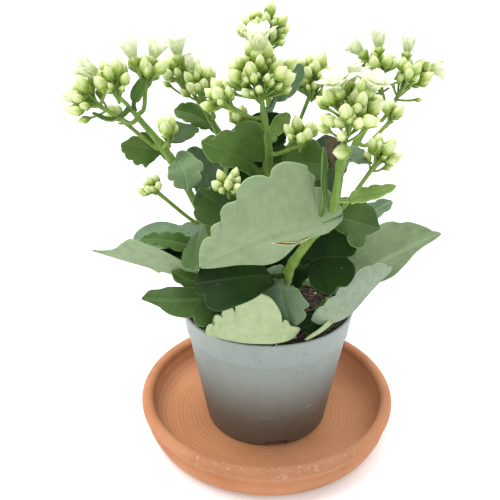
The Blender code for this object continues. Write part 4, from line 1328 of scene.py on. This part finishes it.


# %% [markdown]
# A bud is green where the sepals hold it and turns pale towards its tip, where the white petals show
# through. The seams are greener. Open petals are cream-white with a green-yellow throat and faint
# veins along them, and they glow faintly: painted light for the light that passes through them.

# %% Heads: finishes
def stalk_finish(name, tint, shade):
    green = Finish(name, roughness=0.42, specular_ior_level=0.3)
    place = green.place()
    along = green.cloud(green.stretched(place, (1, 1, 0.22)), 420, 3)
    broad = green.cloud(place, 48, 3)
    body = green.mix(shade, tint, (along * 0.5 + broad * 0.5).step(0.34, 0.62))
    pores = green.grains(place, 650).step(0.16, 0.07)
    body = green.mix(body, tuple(min(value * 1.7, 0.8) for value in tint), pores * 0.4)
    return green.wear(base_color=body, roughness=0.38 + along * 0.16,
                      normal=green.bump(along + pores * 0.4, 0.0002, 0.6))


def bud_finish():
    bud = Finish("bud_skin", roughness=0.42, specular_ior_level=0.3)
    place = bud.place()
    grow, seam = bud.reading("grow"), bud.reading("seam")
    broad = bud.cloud(place, 95, 3)
    fine = bud.cloud(place, 800, 4)
    ripening = (grow + (broad - 0.5) * 0.5).step(0.15, 0.62)
    body = bud.mix((0.185, 0.300, 0.030), (0.470, 0.575, 0.165), ripening)
    body = bud.mix(body, (0.730, 0.795, 0.450), (grow + (broad - 0.5) * 0.4).step(0.45, 0.95))
    body = bud.mix(body, (0.260, 0.380, 0.060), seam.step(0.45, 1.0) * (1 - grow * 0.55) * 0.55)
    body = bud.mix(body, (0.84, 0.88, 0.64), fine.step(0.56, 0.74) * 0.22)
    return bud.wear(base_color=body, roughness=0.40 + fine * 0.14,
                    normal=bud.bump(fine - seam * 0.6, 0.00022, 0.6))


def sepal_finish():
    sepal = Finish("sepal_skin", roughness=0.46, specular_ior_level=0.3)
    place = sepal.place()
    grow, seam = sepal.reading("grow"), sepal.reading("seam")
    fine = sepal.cloud(place, 500, 4)
    body = sepal.mix((0.125, 0.235, 0.020), (0.285, 0.400, 0.060), (grow * 0.6 + fine * 0.5).step(0.2, 0.8))
    body = sepal.mix(body, (0.40, 0.52, 0.16), seam.step(0.6, 1.0) * 0.5)
    return sepal.wear(base_color=body, normal=sepal.bump(fine, 0.0002, 0.6))


def petal_finish():
    # painted light: a faint glow on the petals stands in for light passing through their thin flesh
    petal = Finish("petal_skin", roughness=0.55, specular_ior_level=0.3, emission_strength=0.06,
                   emission_color=(0.93, 1.0, 0.84, 1.0))
    place = petal.place()
    grow, seam = petal.reading("grow"), petal.reading("seam")
    stripes = (seam * 5.0).fraction()
    vein = (stripes - 0.5).size().step(0.36, 0.50)
    fine = petal.cloud(place, 420, 4)
    body = petal.mix((0.330, 0.440, 0.080), (0.830, 0.880, 0.600), (grow + fine * 0.15).step(0.05, 0.75))
    body = petal.mix(body, (0.60, 0.70, 0.36), vein * (1 - grow) * 0.6)
    body = petal.mix(body, (0.93, 0.94, 0.84), (grow + fine * 0.2).step(0.75, 1.05))
    return petal.wear(base_color=body, roughness=0.50 + fine * 0.12,
                      normal=petal.bump(fine * 0.5 - vein * 0.4, 0.0002, 0.6))


STALK_FINISH = stalk_finish("flower_stalk", (0.215, 0.335, 0.060), (0.120, 0.205, 0.032))
STEM_FINISH = stalk_finish("stem_skin", (0.185, 0.305, 0.052), (0.105, 0.195, 0.028))
HEAD_FINISHES = [STALK_FINISH, bud_finish(), sepal_finish(), petal_finish()]
print("flower finishes ready")

# %% [markdown]
# ## The big lower leaves
#
# The lower leaves are the oldest and broadest. Some have flopped over the rim and show their silvery
# undersides. They follow the same midribs as in the CAD model.

#
# A drawn margin is two lists of marks, one for each half of the blade. A mark is how far
# along the blade it is, as a share of its length, and how far out, as a share of half its width.
# Where the first mark is off the rib, the margin starts at the base of the blade, and where the
# last one is, it ends at the tip.

# %% Drawn margins
HAND_DRAWN = {
    "leaf_front_broad": (
        [(-0.14, 0.0), (-0.14, 0.14), (-0.12, 0.34), (-0.09, 0.48), (-0.04, 0.53), (-0.01, 0.56),
         (-0.06, 0.64), (-0.02, 0.80), (0.12, 0.94), (0.24, 1.0), (0.33, 0.95), (0.37, 0.82),
         (0.41, 0.88), (0.49, 0.90), (0.55, 0.82), (0.58, 0.76), (0.59, 0.64), (0.66, 0.66),
         (0.72, 0.57), (0.73, 0.46), (0.80, 0.46), (0.83, 0.40), (0.81, 0.30), (0.88, 0.34),
         (0.95, 0.24), (0.99, 0.08)],
        [(-0.14, 0.0), (-0.12, 0.12), (-0.07, 0.20), (0.02, 0.22), (0.10, 0.21), (0.18, 0.22),
         (0.24, 0.31), (0.30, 0.41), (0.39, 0.48), (0.52, 0.46), (0.66, 0.34), (0.76, 0.24),
         (0.86, 0.16), (0.95, 0.08)]),
    "leaf_front_fan": (
        [(-0.05, 0.10), (0.04, 0.28), (0.12, 0.35), (0.17, 0.50), (0.205, 0.60), (0.225, 0.50),
         (0.22, 0.40), (0.25, 0.72), (0.30, 0.98), (0.36, 1.16), (0.44, 1.24), (0.53, 1.28),
         (0.62, 1.24), (0.68, 1.06), (0.66, 0.62), (0.71, 0.82), (0.76, 0.90), (0.80, 0.84),
         (0.80, 0.56), (0.85, 0.62), (0.90, 0.56), (0.89, 0.36), (0.95, 0.34), (1.0, 0.14)],
        [(0.05, 0.10), (0.30, 0.28), (0.60, 0.28), (0.90, 0.12)]),
    "leaf_two_lobed": (
        [(-0.06, 0.10), (-0.04, 0.30), (0.02, 0.42), (0.10, 0.50), (0.22, 0.62), (0.36, 0.74),
         (0.50, 0.80), (0.66, 0.72), (0.79, 0.54), (0.87, 0.26), (0.82, 0.06), (0.68, 0.0)],
        [(-0.10, 0.16), (-0.14, 0.45), (-0.08, 0.72), (0.02, 0.86), (0.16, 0.94), (0.36, 0.90),
         (0.50, 0.80), (0.56, 0.68), (0.64, 0.68), (0.76, 0.66), (0.85, 0.54), (0.90, 0.34),
         (0.84, 0.12), (0.68, 0.0)]),
    "leaf_front_dark": (
        [(0.05, 0.35), (0.27, 0.62), (0.45, 0.85), (0.60, 0.98), (0.73, 1.06), (0.86, 0.84),
         (0.88, 0.60), (0.87, 0.46), (0.94, 0.40), (1.0, 0.20)],
        [(0.10, 0.40), (0.35, 0.55), (0.60, 0.60), (0.89, 0.42), (0.98, 0.20)]),
    "leaf_node_down": (
        [(-0.15, 0.25), (0.08, 0.55), (0.43, 0.80), (0.60, 0.88), (0.66, 0.78), (0.68, 0.62),
         (0.85, 0.66), (1.07, 0.42), (1.19, 0.0)],
        [(-0.20, 0.30), (-0.05, 0.80), (0.10, 0.95), (0.17, 0.82), (0.35, 0.62), (0.47, 0.50),
         (0.59, 0.34), (0.80, 0.27), (1.0, 0.26), (1.15, 0.12), (1.19, 0.0)]),
    "leaf_centre_left": (
        [(-0.20, 0.25), (0.07, 0.32), (0.41, 0.38), (0.50, 0.44), (0.57, 0.35), (0.70, 0.43),
         (0.85, 0.32), (0.95, 0.16)],
        [(-0.25, 0.45), (-0.05, 0.80), (0.20, 1.08), (0.42, 1.0), (0.53, 0.78), (0.52, 0.58),
         (0.66, 0.56), (0.75, 0.42), (0.74, 0.28), (0.88, 0.28), (0.97, 0.10)]),
    "leaf_upper_left": (
        [(0.20, 0.50), (0.50, 0.95), (0.71, 1.04), (0.84, 0.86), (0.86, 0.70), (0.95, 0.58),
         (0.98, 0.36)],
        [(0.10, 0.40), (0.35, 0.75), (0.55, 0.82), (0.70, 0.70), (0.73, 0.50), (0.84, 0.42),
         (0.87, 0.22), (0.96, 0.12)]),
    "leaf_edge_on": (
        [(0.10, 0.40), (0.50, 0.80), (0.90, 0.84), (1.0, 0.30)],
        [(0.10, 0.40), (0.33, 0.68), (0.55, 0.80), (0.62, 0.78), (0.80, 0.94), (0.95, 0.82),
         (1.02, 0.40)]),
    "leaf_left_outer": (
        [(0.0, 0.30), (0.23, 0.64), (0.34, 0.86), (0.43, 0.72), (0.53, 0.82), (0.64, 0.74),
         (0.66, 0.60), (0.76, 0.62), (0.86, 0.52), (0.87, 0.38), (0.97, 0.30)],
        [(0.0, 0.20), (0.20, 0.58), (0.42, 0.66), (0.57, 0.62), (0.60, 0.44), (0.74, 0.42),
         (0.86, 0.24), (0.98, 0.08)]),
    "leaf_left_pale": (
        [(-0.12, 0.10), (-0.10, 0.40), (0.10, 0.56), (0.28, 0.62), (0.42, 0.80), (0.52, 0.74),
         (0.50, 0.56), (0.62, 0.64), (0.72, 0.50), (0.80, 0.26), (0.86, 0.0)],
        [(-0.12, 0.25), (0.10, 0.50), (0.30, 0.56), (0.50, 0.68), (0.58, 0.62), (0.57, 0.48),
         (0.72, 0.50), (0.78, 0.36), (0.76, 0.22), (0.84, 0.12), (0.86, 0.0)]),
    "leaf_right_large": (
        [(0.10, 0.35), (0.22, 0.58), (0.38, 0.74), (0.52, 0.88), (0.62, 0.92), (0.71, 0.85),
         (0.76, 0.72), (0.82, 0.66), (0.88, 0.46), (0.94, 0.24)],
        [(0.10, 0.35), (0.30, 0.52), (0.44, 0.58), (0.54, 0.48), (0.62, 0.38), (0.70, 0.26),
         (0.80, 0.18), (0.88, 0.12), (0.96, 0.05)]),
    "leaf_right_middle": (
        [(0.05, 0.45), (0.19, 0.64), (0.43, 0.72), (0.60, 0.74), (0.66, 0.64), (0.76, 0.60),
         (0.90, 0.36)],
        [(0.10, 0.45), (0.40, 0.84), (0.58, 0.86), (0.68, 0.66), (0.66, 0.44), (0.80, 0.30),
         (0.94, 0.10)]),
    "leaf_lower_left": (
        [(0.05, 0.25), (0.20, 0.50), (0.33, 0.86), (0.42, 0.95), (0.49, 0.82), (0.48, 0.58),
         (0.58, 0.60), (0.72, 0.48), (0.79, 0.30), (0.92, 0.12)],
        [(0.10, 0.25), (0.30, 0.36), (0.48, 0.42), (0.73, 0.45), (0.84, 0.34), (0.92, 0.30)]),
    "leaf_left_drooping": (
        [(0.10, 0.08), (0.20, 0.38), (0.28, 0.66), (0.37, 0.85), (0.47, 0.95), (0.56, 0.98),
         (0.66, 0.72), (0.75, 0.42), (0.88, 0.17), (0.97, 0.05)],
        [(0.10, 0.08), (0.35, 0.30), (0.60, 0.32), (0.80, 0.16), (0.95, 0.04)]),
    "leaf_left_behind": (
        [(0.10, 0.40), (0.35, 0.80), (0.51, 0.95), (0.70, 0.75), (0.85, 0.48), (0.97, 0.15)],
        [(0.10, 0.45), (0.28, 0.64), (0.38, 0.60), (0.44, 0.44), (0.52, 0.50), (0.69, 0.62),
         (0.84, 0.56), (0.94, 0.38)]),
}
print("hand-drawn margins:", len(HAND_DRAWN))

# %% Lower leaves
leaf, right, left, centre = build_leaf, STEM_RIGHT, STEM_LEFT, STEM_CENTRE
leaf("leaf_front_broad", right.side(156, (10, -80, 156)),
     [(14, -61, 156), (-6, -71, 154), (-33, -78, 144)], width=64, face=(0.05, 0.92, -0.2),
     finish="silver", folds=(2, 30), stalk=0.04, skew=1.1, wave=0.35, ears=0.9,
     tear=[(0.10, -0.19), (0.23, -0.22), (0.40, -0.12), (0.53, 0.04)])
leaf("leaf_front_fan", right.side(83.5, (20, -60, 84)),
     [(15, -40, 87.5), (5, -50.5, 88.5), (-14, -52.5, 89), (-34, -48, 90.5)], width=56,
     face=(0.05, 0.8, 0.6), finish="cream", folds=(22, 60), stalk=0.3)
leaf("leaf_right_folded", right.side(95, (30, -36, 95)),
     [(24, -38, 92), (40, -41, 97), (54, -36, 110), (66, -30, 121)], width=34,
     face=(-0.45, 0.6, 0.65), finish="frosted", lobes=5, notch=0.1, folds=(5, 45), halves=(0.3, 1),
     stalk=0.2)
leaf("leaf_right_large", STEM_BACK_RIGHT.side(98, (60, -20, 100)),
     [(50, -12, 108), (76, -9, 121), (100, -2, 130)], width=46, face=(-0.25, -0.5, 0.8),
     finish="grey", stalk=0.2, skew=1.1, pleats=0.5)
leaf("leaf_left_drooping", left.side(108, (-90, -40, 108)),
     [(-44, -25, 114), (-72, -18, 118), (-102, -6, 121)], width=50, face=(0, 0.45, 0.9),
     finish="silver", folds=(34, 40), stalk=0.14, skew=1.05)
leaf("leaf_left_behind", left.side(119, (-60, 20, 119)),
     [(-44, 9, 122), (-62, 14, 122.5), (-84, 16, 117)], width=40, face=(0, -0.25, 0.97),
     finish="blue")
leaf("leaf_lower_left", left.side(92, (-30, -50, 92)),
     [(-28, -33, 104), (-48, -40, 106.5), (-69, -39, 107)], width=32, face=(-0.1, -0.8, 0.55),
     finish="deep", folds=(8, -8), stalk=0.25, skew=1.2)
leaf("leaf_front_dark", right.side(121, (-30, -60, 121)),
     [(-5, -50, 126), (-21, -57, 127.5), (-38, -58, 125)], width=36, face=(0, -0.55, 0.8),
     finish="shaded")
leaf("leaf_front_under", centre.side(104, (-20, -60, 104)),
     [(-9, -31, 108), (-20, -40, 111), (-34, -46, 110)], width=25, face=(0, -0.55, 0.8),
     finish="shaded", lobes=4, notch=0.1)
leaf("leaf_node_down", right.side(116.5, (8, -80, 116.5)),
     [(6, -45, 117), (6.5, -48, 111.5), (10.5, -48, 98)], width=29, face=(-0.25, -0.65, 0.7),
     finish="blue")
leaf("leaf_two_lobed", right.side(129, (60, -45, 129)),
     [(25, -44, 133), (35, -47, 135), (46, -47, 134)], width=44, face=(-0.1, -0.92, 0.38),
     finish="shaded", folds=(6, 6), stalk=0.2)
leaf("leaf_back_low_left", STEM_BACK_LEFT.side(100, (-40, 60, 100)),
     [(-28, 32, 108), (-42, 52, 112), (-56, 74, 104)], width=46, face=(0, 0.1, 1), finish="green",
     lobes=6, notch=0.12)
leaf("leaf_back_low_right", STEM_BEHIND.side(98, (40, 60, 98)),
     [(20, 34, 106), (34, 56, 110), (46, 80, 100)], width=48, face=(0, 0.1, 1), finish="blue",
     lobes=6, notch=0.12)
print("lower leaves done")

# %% [markdown]
# ## The leaves of the upper joints
#
# Higher up the leaves are smaller and stand out in pairs under the flower stalks.

# %% Upper leaves
leaf("leaf_edge_on", left.side(140, (-40, -60, 140)),
     [(-36, -34, 146), (-37.5, -44, 140), (-40.5, -48.5, 129)], width=22, face=(-0.8, -0.5, 0.3),
     finish="deep", folds=(8, 8), stalk=0.3)
leaf("leaf_upper_left", centre.side(149, (-60, -50, 149)),
     [(-17, -33, 154), (-27, -39, 161), (-36, -41, 169)], width=25, face=(-0.3, -0.7, 0.6),
     finish="deep", folds=(8, 8), stalk=0.3)
leaf("leaf_right_middle", right.side(150, (70, -30, 150)),
     [(35, -44, 154), (44, -43, 152), (55, -41, 148)], width=33, face=(0, -0.75, 0.65),
     finish="deep")
leaf("leaf_right_narrow", right.side(167, (70, -50, 167)),
     [(40, -53, 169), (48, -54, 171), (58, -52, 174)], width=11, face=(0, -0.4, 0.9), finish="fresh",
     lobes=4, notch=0.16, folds=(10, 10), stalk=0.15, skew=1.2, point=0.4)
leaf("leaf_right_upper", right.side(186, (60, -20, 186)),
     [(38, -49, 187), (42, -43, 186), (47, -37, 183)], width=13, face=(0.1, -0.6, 0.75),
     finish="blue", lobes=4, notch=0.16)
leaf("leaf_centre_right", centre.side(177, (40, -34, 177)),
     [(8, -32, 180), (16, -35, 181), (27, -37, 179.5)], width=25, face=(0, -0.8, 0.6),
     finish="green", lobes=4, notch=0.16)
leaf("leaf_centre_left", centre.side(175, (-40, -36, 175)),
     [(-11, -32, 180), (-20, -36, 185.5), (-34, -38, 192)], width=36, face=(0.1, -0.9, 0.4),
     finish="green", folds=(10, 24), stalk=0.28)
leaf("leaf_centre_upright", centre.side(184, (-4, 0, 184)),
     [(-2, -20, 187), (-4, -16, 193), (-6, -13, 201)], width=28, face=(0, -0.95, 0.3),
     finish="shaded", lobes=4, folds=(4, 4), stalk=0.2, notch=0.14)
leaf("leaf_left_outer", left.side(178, (-70, 5, 178)),
     [(-59, -8, 179.5), (-68, -9, 182), (-79, -10, 184)], width=25, face=(0.1, -0.9, 0.4),
     finish="green", stalk=0.25)
leaf("leaf_left_pale", left.side(176, (-40, -50, 176)),
     [(-47, -27, 179.5), (-43.5, -35, 176), (-41.5, -38, 164)], width=25, face=(0, -0.85, 0.5),
     finish="silver", folds=(5, 5), stalk=0.3, skew=0.8)
leaf("leaf_left_dark", left.side(184, (-45, 20, 184)),
     [(-51, -3, 186), (-48, 4, 188), (-44, 11, 190)], width=22, face=(-0.2, -0.7, 0.7),
     finish="deep", lobes=4, notch=0.16)
leaf("leaf_left_low", left.side(170, (-20, 10, 170)),
     [(-43, -4, 173), (-38, 0, 168), (-33, 2, 155)], width=24, face=(0.3, -0.9, 0.2), finish="blue",
     lobes=4, notch=0.14)
leaf("leaf_back_left_small", STEM_BACK_LEFT.side(186, (-50, 50, 186)),
     [(-36, 19, 190), (-44, 22, 194), (-54, 23, 196)], width=14, face=(0, -0.7, 0.7),
     finish="green", lobes=4, notch=0.14)
leaf("bract_centre", centre.side(205, (20, -12, 205)),
     [(2, -23, 210), (8, -18, 216), (15, -15, 225)], width=11, face=(0.3, -0.9, 0.2), finish="blue",
     lobes=3, notch=0.1, folds=(10, 10), stalk=0.25)
leaf("leaf_back_scarred", STEM_BACK_RIGHT.side(156, (28, -30, 156)),
     [(31, -12, 166), (30, -14, 178), (29, -15, 190)], width=22, face=(0, -0.95, 0.2),
     finish="scarred", lobes=4, notch=0.16)
leaf("leaf_back_high_left", STEM_BACK_LEFT.side(150, (-40, 50, 150)),
     [(-30, 26, 156), (-38, 40, 158), (-46, 56, 152)], width=36, face=(-0.1, 0.2, 0.95),
     finish="green", lobes=5, notch=0.13)
leaf("leaf_back_high_right", STEM_BEHIND.side(155, (40, 40, 155)),
     [(18, 22, 161), (30, 38, 164), (40, 56, 158)], width=38, face=(0.1, 0.2, 0.95), finish="green",
     lobes=5, notch=0.13)
leaf("sprout",
     [Vector((26, -22, MIX_TOP - 2)), Vector((26, -22, MIX_TOP + 2.0)), Vector((26.5, -22.5, 84))],
     [(28, -25, 89), (27, -31, 91)], width=13, face=(0, -0.5, 0.85), finish="green", lobes=2, notch=0.2)
print("upper leaves done")

# %% [markdown]
# Some small leaves are too slight for the CAD model or lie too deep inside it: two narrow bracts at
# the left, a tooth-edged leaf above the drooping one, a few slim ones at the joints, a dry strip
# along the rim, and dark leaves that close the crown behind the stems, most of them in the
# near-black shaded finish, which is painted shade.

# %% Small filling leaves
leaf("fill_left_bright", left.side(122, (-60, -20, 124)),
     [(-46, -17, 129), (-58, -18, 132), (-71, -18, 132.5)], width=15, face=(0, -0.4, 0.9),
     finish="green", lobes=6, notch=0.22, point=0.3, nodes=[])
leaf("fill_left_inner", left.side(114, (-60, -3, 114)),
     [(-46, -2, 115.5), (-57, 1, 117), (-66, 4, 118)], width=24, face=(0, -0.5, 0.85),
     finish="shaded", lobes=4, nodes=[])
leaf("fill_centre_inner", centre.side(108, (5, -60, 112)),
     [(5, -24, 115), (3, -27, 122), (-2, -29, 132)], width=40, face=(0, -0.9, 0.4),
     finish="shaded", lobes=4, nodes=[])
leaf("fill_right_inner", STEM_BACK_RIGHT.side(112, (30, -40, 114)),
     [(26, -16, 118), (27, -22, 124), (28, -26, 134)], width=30, face=(0.1, -0.9, 0.3),
     finish="shaded", lobes=4, nodes=[])
leaf("fill_left_small", left.side(104, (-60, -30, 106)),
     [(-41, -28, 112), (-47, -31, 115), (-53, -32, 120)], width=10, face=(0.3, -0.8, 0.5),
     finish="green", lobes=4, notch=0.2, nodes=[])
leaf("fill_right_small", right.side(148, (60, -25, 152)),
     [(46, -34, 151.5), (55, -28, 153.5), (64, -24, 157)], width=12, face=(0, -0.5, 0.85),
     finish="blue", lobes=4, notch=0.16, nodes=[])
leaf("fill_rim_inner", right.side(87, (35, -36, 88)),
     [(30, -36, 92.5), (24, -40, 92), (17, -43, 90)], width=13, face=(0, -0.7, 0.7),
     finish="shaded", lobes=3, nodes=[])
leaf("fill_rim_strip", right.side(86, (38, -34, 92)),
     [(37.6, -37, 97.4), (30.3, -42, 91), (19, -47, 86.2)], width=6, face=(0.1, 0.8, 0.5),
     finish="cream", lobes=4, notch=0.1, stalk=0.3, nodes=[])
leaf("fill_crown_left", centre.side(152, (-20, -20, 160)),
     [(-4, -21, 162), (-11, -20, 169), (-20, -18, 176)], width=30, face=(0.1, -0.9, 0.4),
     finish="shaded", lobes=4, notch=0.16, nodes=[])
leaf("fill_crown_back", centre.side(166, (-6, 0, 170)),
     [(-3, -19, 171), (-4, -15, 181), (-5, -12, 192)], width=28, face=(0, -0.95, 0.3),
     finish="deep", lobes=5, notch=0.16, nodes=[])
leaf("fill_crown_right", STEM_BACK_RIGHT.side(148, (30, -20, 160)),
     [(28, -14, 157), (24, -17, 165), (17, -18, 174)], width=26, face=(0.1, -0.9, 0.4),
     finish="deep", lobes=5, notch=0.16, nodes=[])
leaf("fill_centre_light", centre.side(190, (10, -20, 196)),
     [(2, -24, 194), (5, -22, 198), (9, -20, 202)], width=8, face=(0, -0.9, 0.3), finish="fresh",
     lobes=2, nodes=[])
leaf("fill_right_upright", right.side(157, (27, -56, 166)),
     [(24.8, -53, 168), (24, -52, 180), (23.5, -51, 192)], width=3.6, face=(0.5, -0.8, 0.2),
     finish="green", lobes=2, notch=0.0, point=0.3, nodes=[])
leaf("bract_left_spoon",
     [Vector((-69, -13, 202.5)), Vector((-70.3, -13, 204)), Vector((-70.3, -13, 206))],
     [(-67.5, -13.5, 212), (-63, -14, 218.7)], width=6.5, face=(-0.4, -0.9, 0), finish="green",
     lobes=1, notch=0.0, skew=1.3, nodes=[])
leaf("bract_left_thin",
     [Vector((-72.5, -15.5, 204)), Vector((-74, -16, 202.6)), Vector((-75.5, -16.2, 201.2))],
     [(-82, -18, 198.8), (-90, -20, 202.4)], width=2.6, face=(0, -0.6, 0.8), finish="green",
     lobes=1, notch=0.0, nodes=[])
print("filling leaves done")

# %% [markdown]
# ## The flower heads
#
# Each head has its own hub, its own axis and its own seed, so no two are alike.

# %% Flower heads
head = build_cyme
back_left, back_right, behind = STEM_BACK_LEFT, STEM_BACK_RIGHT, STEM_BEHIND
head("head_left_outer", left.side(199, (-100, -17, 206)),
     hub=(-88, -17, 206), axis=(-0.95, 0, 0.45), buds=9, reach=8, size=9.5, spread=60, seed=3,
     skirt=2,
     flowers=[((-81, -17, 218), (-0.9, -0.1, 0.5), 19, 0.5), ((-92, -17, 208), (-1, 0, 0.25), 14, 0.3)])
head("head_left_middle", left.tip(),
     hub=(-77.5, -15.5, 210), axis=(-0.1, -0.1, 1), buds=8, reach=9, size=9.5, spread=52, seed=5)
head("head_left_top", left.side(200, (-55, -13, 208)),
     hub=(-64, -11, 214), axis=(0.2, 0.1, 1), buds=7, reach=9, size=9.5, spread=50, seed=7,
     flowers=[((-67, -14, 224), (-0.35, 0.1, 1), 15, 0.6), ((-61, -12, 224), (0.4, 0.1, 1), 16, 0.7)])
head("head_left_low", left.side(184, (-75, -5, 190)),
     hub=(-77, -9, 196), axis=(-0.8, 0, 0.5), buds=4, reach=5, size=8, spread=45, seed=9)
head("head_left_pair", left.side(184, (-45, -35, 184)),
     hub=(-52, -22.5, 189), axis=(-0.05, -0.1, 1), buds=3, reach=4, size=10, spread=40, seed=11)
head("head_left_long", left.side(143, (-60, -30, 160)),
     hub=(-59, -27, 163), axis=(-0.6, -0.2, 0.7), buds=6, reach=3.5, size=7.5, spread=65, seed=13)
head("head_back_left", back_left.tip(),
     hub=(-48, 14, 212), axis=(-0.3, 0, 1), buds=9, reach=9, size=9.5, spread=60, seed=15,
     skirt=4,
     flowers=[((-42, 8, 216), (-0.15, -0.1, 1), 13, 0.32), ((-48, 6, 223), (-0.1, -0.1, 1), 17, 0.6)])
head("head_back_middle", back_left.side(193, (-28, 5, 200)),
     hub=(-37, 8, 207), axis=(0.15, -0.3, 1), buds=8, reach=7, size=9.5, spread=60, seed=17, skirt=4)
head("head_centre", centre.tip(),
     hub=(-6, -30, 216), axis=(0, 0, 1), buds=15, reach=12, size=10, spread=80, seed=19,
     flowers=[((-7, -31, 227), (0, -0.1, 1), 20, 0.55)], skirt=26)
head("head_centre_side", centre.side(202, (-30, -30, 204)),
     hub=(-20, -35, 208), axis=(-0.8, -0.1, 0.75), buds=7, reach=7, size=9, spread=58, seed=21)
head("head_behind", behind.tip(),
     hub=(-3, 18, 235), axis=(0, 0.1, 1), buds=11, reach=10, size=9, spread=84, seed=23, skirt=20)
head("head_middle_right", behind.side(176, (30, 4, 190)),
     hub=(23, 4, 211), axis=(0.1, 0, 1), buds=11, reach=9, size=9.5, spread=66, seed=25, skirt=18)
head("head_far_right", back_right.tip(),
     hub=(59, 9, 213), axis=(-0.45, 0, 1), buds=9, reach=9, size=9.5, spread=60, seed=27,
     skirt=4,
     flowers=[((52, 9, 226), (-0.75, 0, 0.6), 16, 0.6), ((58, 9, 227), (-0.1, 0, 1), 15, 0.5)])
head("head_far_right_outer", back_right.side(196, (80, 5, 200)),
     hub=(72, 7, 211), axis=(0.45, 0, 1), buds=9, reach=9, size=9.5, spread=60, seed=29,
     skirt=4,
     flowers=[((80, 7, 222), (0.9, -0.1, -0.1), 16, 0.6), ((72, 8, 225), (0.1, 0, 1), 14, 0.5)])
head("head_right_low", back_right.side(183, (75, -5, 188)),
     hub=(64, -4, 195), axis=(0.5, -0.1, 0.9), buds=5, reach=5, size=8.5, spread=55, seed=31)
head("head_right", right.tip(),
     hub=(33, -61, 204), axis=(0.05, -0.1, 1), buds=13, reach=11, size=10.5, spread=78, seed=33,
     flowers=[((28, -64, 215.5), (-0.3, -0.3, 1), 15, 0.85), ((39, -64, 215.5), (0.3, -0.35, 1), 15, 0.85),
              ((33, -57, 218), (0, 0.1, 1), 14, 0.8)], skirt=6)
head("head_right_side", right.side(162, (60, -42, 165)),
     hub=(50, -44, 183), axis=(0.45, 0, 1), buds=7, reach=6, size=8.5, spread=60, seed=35, skirt=3)
head("head_centre_right", centre.side(184, (20, -42, 184)),
     hub=(14, -39, 190.5), axis=(0.2, -0.1, 1), buds=5, reach=5, size=9.5, spread=60, seed=37)
head("head_centre_back", centre.side(194, (-30, -20, 196)),
     hub=(-16, -24, 196), axis=(-0.1, 0, 1), buds=4, reach=4, size=9, spread=50, seed=39)
head("head_centre_low", centre.side(160, (-40, -50, 163)),
     hub=(-21, -48, 169.5), axis=(-0.05, -0.35, 1), buds=6, reach=5, size=8, spread=58, seed=41)
build_bud("single_bud_right", [(32, -58.5, 191), (33.6, -60.2, 192), (34.2, -61.8, 193.2)],
          way=(-1, -0.3, 0.0), length=8.8, girth=3.5)
build_bud("single_bud_left", [(-42, -6, 108), (-52, -8, 109), (-61, -9, 110.2)],
          way=(-1, -0.1, 0.05), length=7.5, girth=1.9)
build_bud("single_bud_low", [(27, -24, 92), (30, -26, 96), (30.5, -28, 99.5)],
          way=(0.9, -0.3, 0.3), length=5.5, girth=1.5)
print("flower heads done")

# %% [markdown]
# ## The stems
#
# Now every joint is known, so the stems can be modelled. A stem is a smooth green bar that thins
# upwards. It swells where a pair of leaves or a flower stalk leaves it, faint ridges run along it
# between the joints, and its last stretch narrows to the stalk of the head that it carries.

# %% Stems: shape
JOINT_SWELL = 0.55
JOINT_LENGTH = 2.6
STEM_SIDES = 20
STEM_END = 1.15                 # radius where a head's stalk takes over


def build_stem(stem):
    lump = Lump()
    route = stem.fine
    last = len(route) - 1
    ways = tangents(route)
    first = None
    loops = []
    for n, (place, way) in enumerate(zip(route, ways)):
        first, second = ring_frame(way, first)
        swell = sum(math.exp(-((place - joint).length / JOINT_LENGTH) ** 2) for joint in stem.joints)
        radius = stem.thick + (stem.thin - stem.thick) * n / last + JOINT_SWELL * min(swell, 1.2)
        radius -= (radius - STEM_END) * slope(n / last, 0.88, 1.0)
        radius *= 0.55 if n in (0, last) else 1
        loop = []
        for k in range(STEM_SIDES):
            angle = math.tau * k / STEM_SIDES
            uneven = 0.03 * noise.noise(place * 0.09 + Vector((angle, 0, 0)))
            ridge = 1 + 0.035 * math.cos(4 * angle) + uneven
            offset = radius * ridge * (math.cos(angle) * first + math.sin(angle) * second)
            loop.append(lump.point(place + offset, grow=n / last))
        loops.append(loop)
    lump.skin(loops)
    lump.face(list(reversed(loops[0])))
    lump.face(loops[-1])
    return settle(lump.become(stem.name + "_bar", [STEM_FINISH], sharp=80), "stem", stem.name)


for stem in STEMS:
    build_stem(stem)
print("stems:", len(STEMS), " joints:", sum(len(stem.joints) for stem in STEMS))

# %% [markdown]
# ## The floor
#
# A wide white sheet under the saucer. It is stage, not part of the plant.

# %% Floor
floor_mesh = bpy.data.meshes.new("floor")
FLOOR_HALF = 60.0
FLOOR_LEVEL = -0.0004           # metres, just under the saucer
floor_corners = [(-FLOOR_HALF, -FLOOR_HALF, FLOOR_LEVEL), (FLOOR_HALF, -FLOOR_HALF, FLOOR_LEVEL)]
floor_corners += [(FLOOR_HALF, FLOOR_HALF, FLOOR_LEVEL), (-FLOOR_HALF, FLOOR_HALF, FLOOR_LEVEL)]
floor_mesh.from_pydata(floor_corners, [], [(0, 1, 2, 3)])
floor = bpy.data.objects.new("floor", floor_mesh)
bpy.context.scene.collection.objects.link(floor)
paper = Finish("white_paper", roughness=0.9)
floor_mesh.materials.append(paper.wear(base_color=(0.93, 0.93, 0.93), emission_color=(1.0, 1.0, 1.0),
                                        emission_strength=0.16))
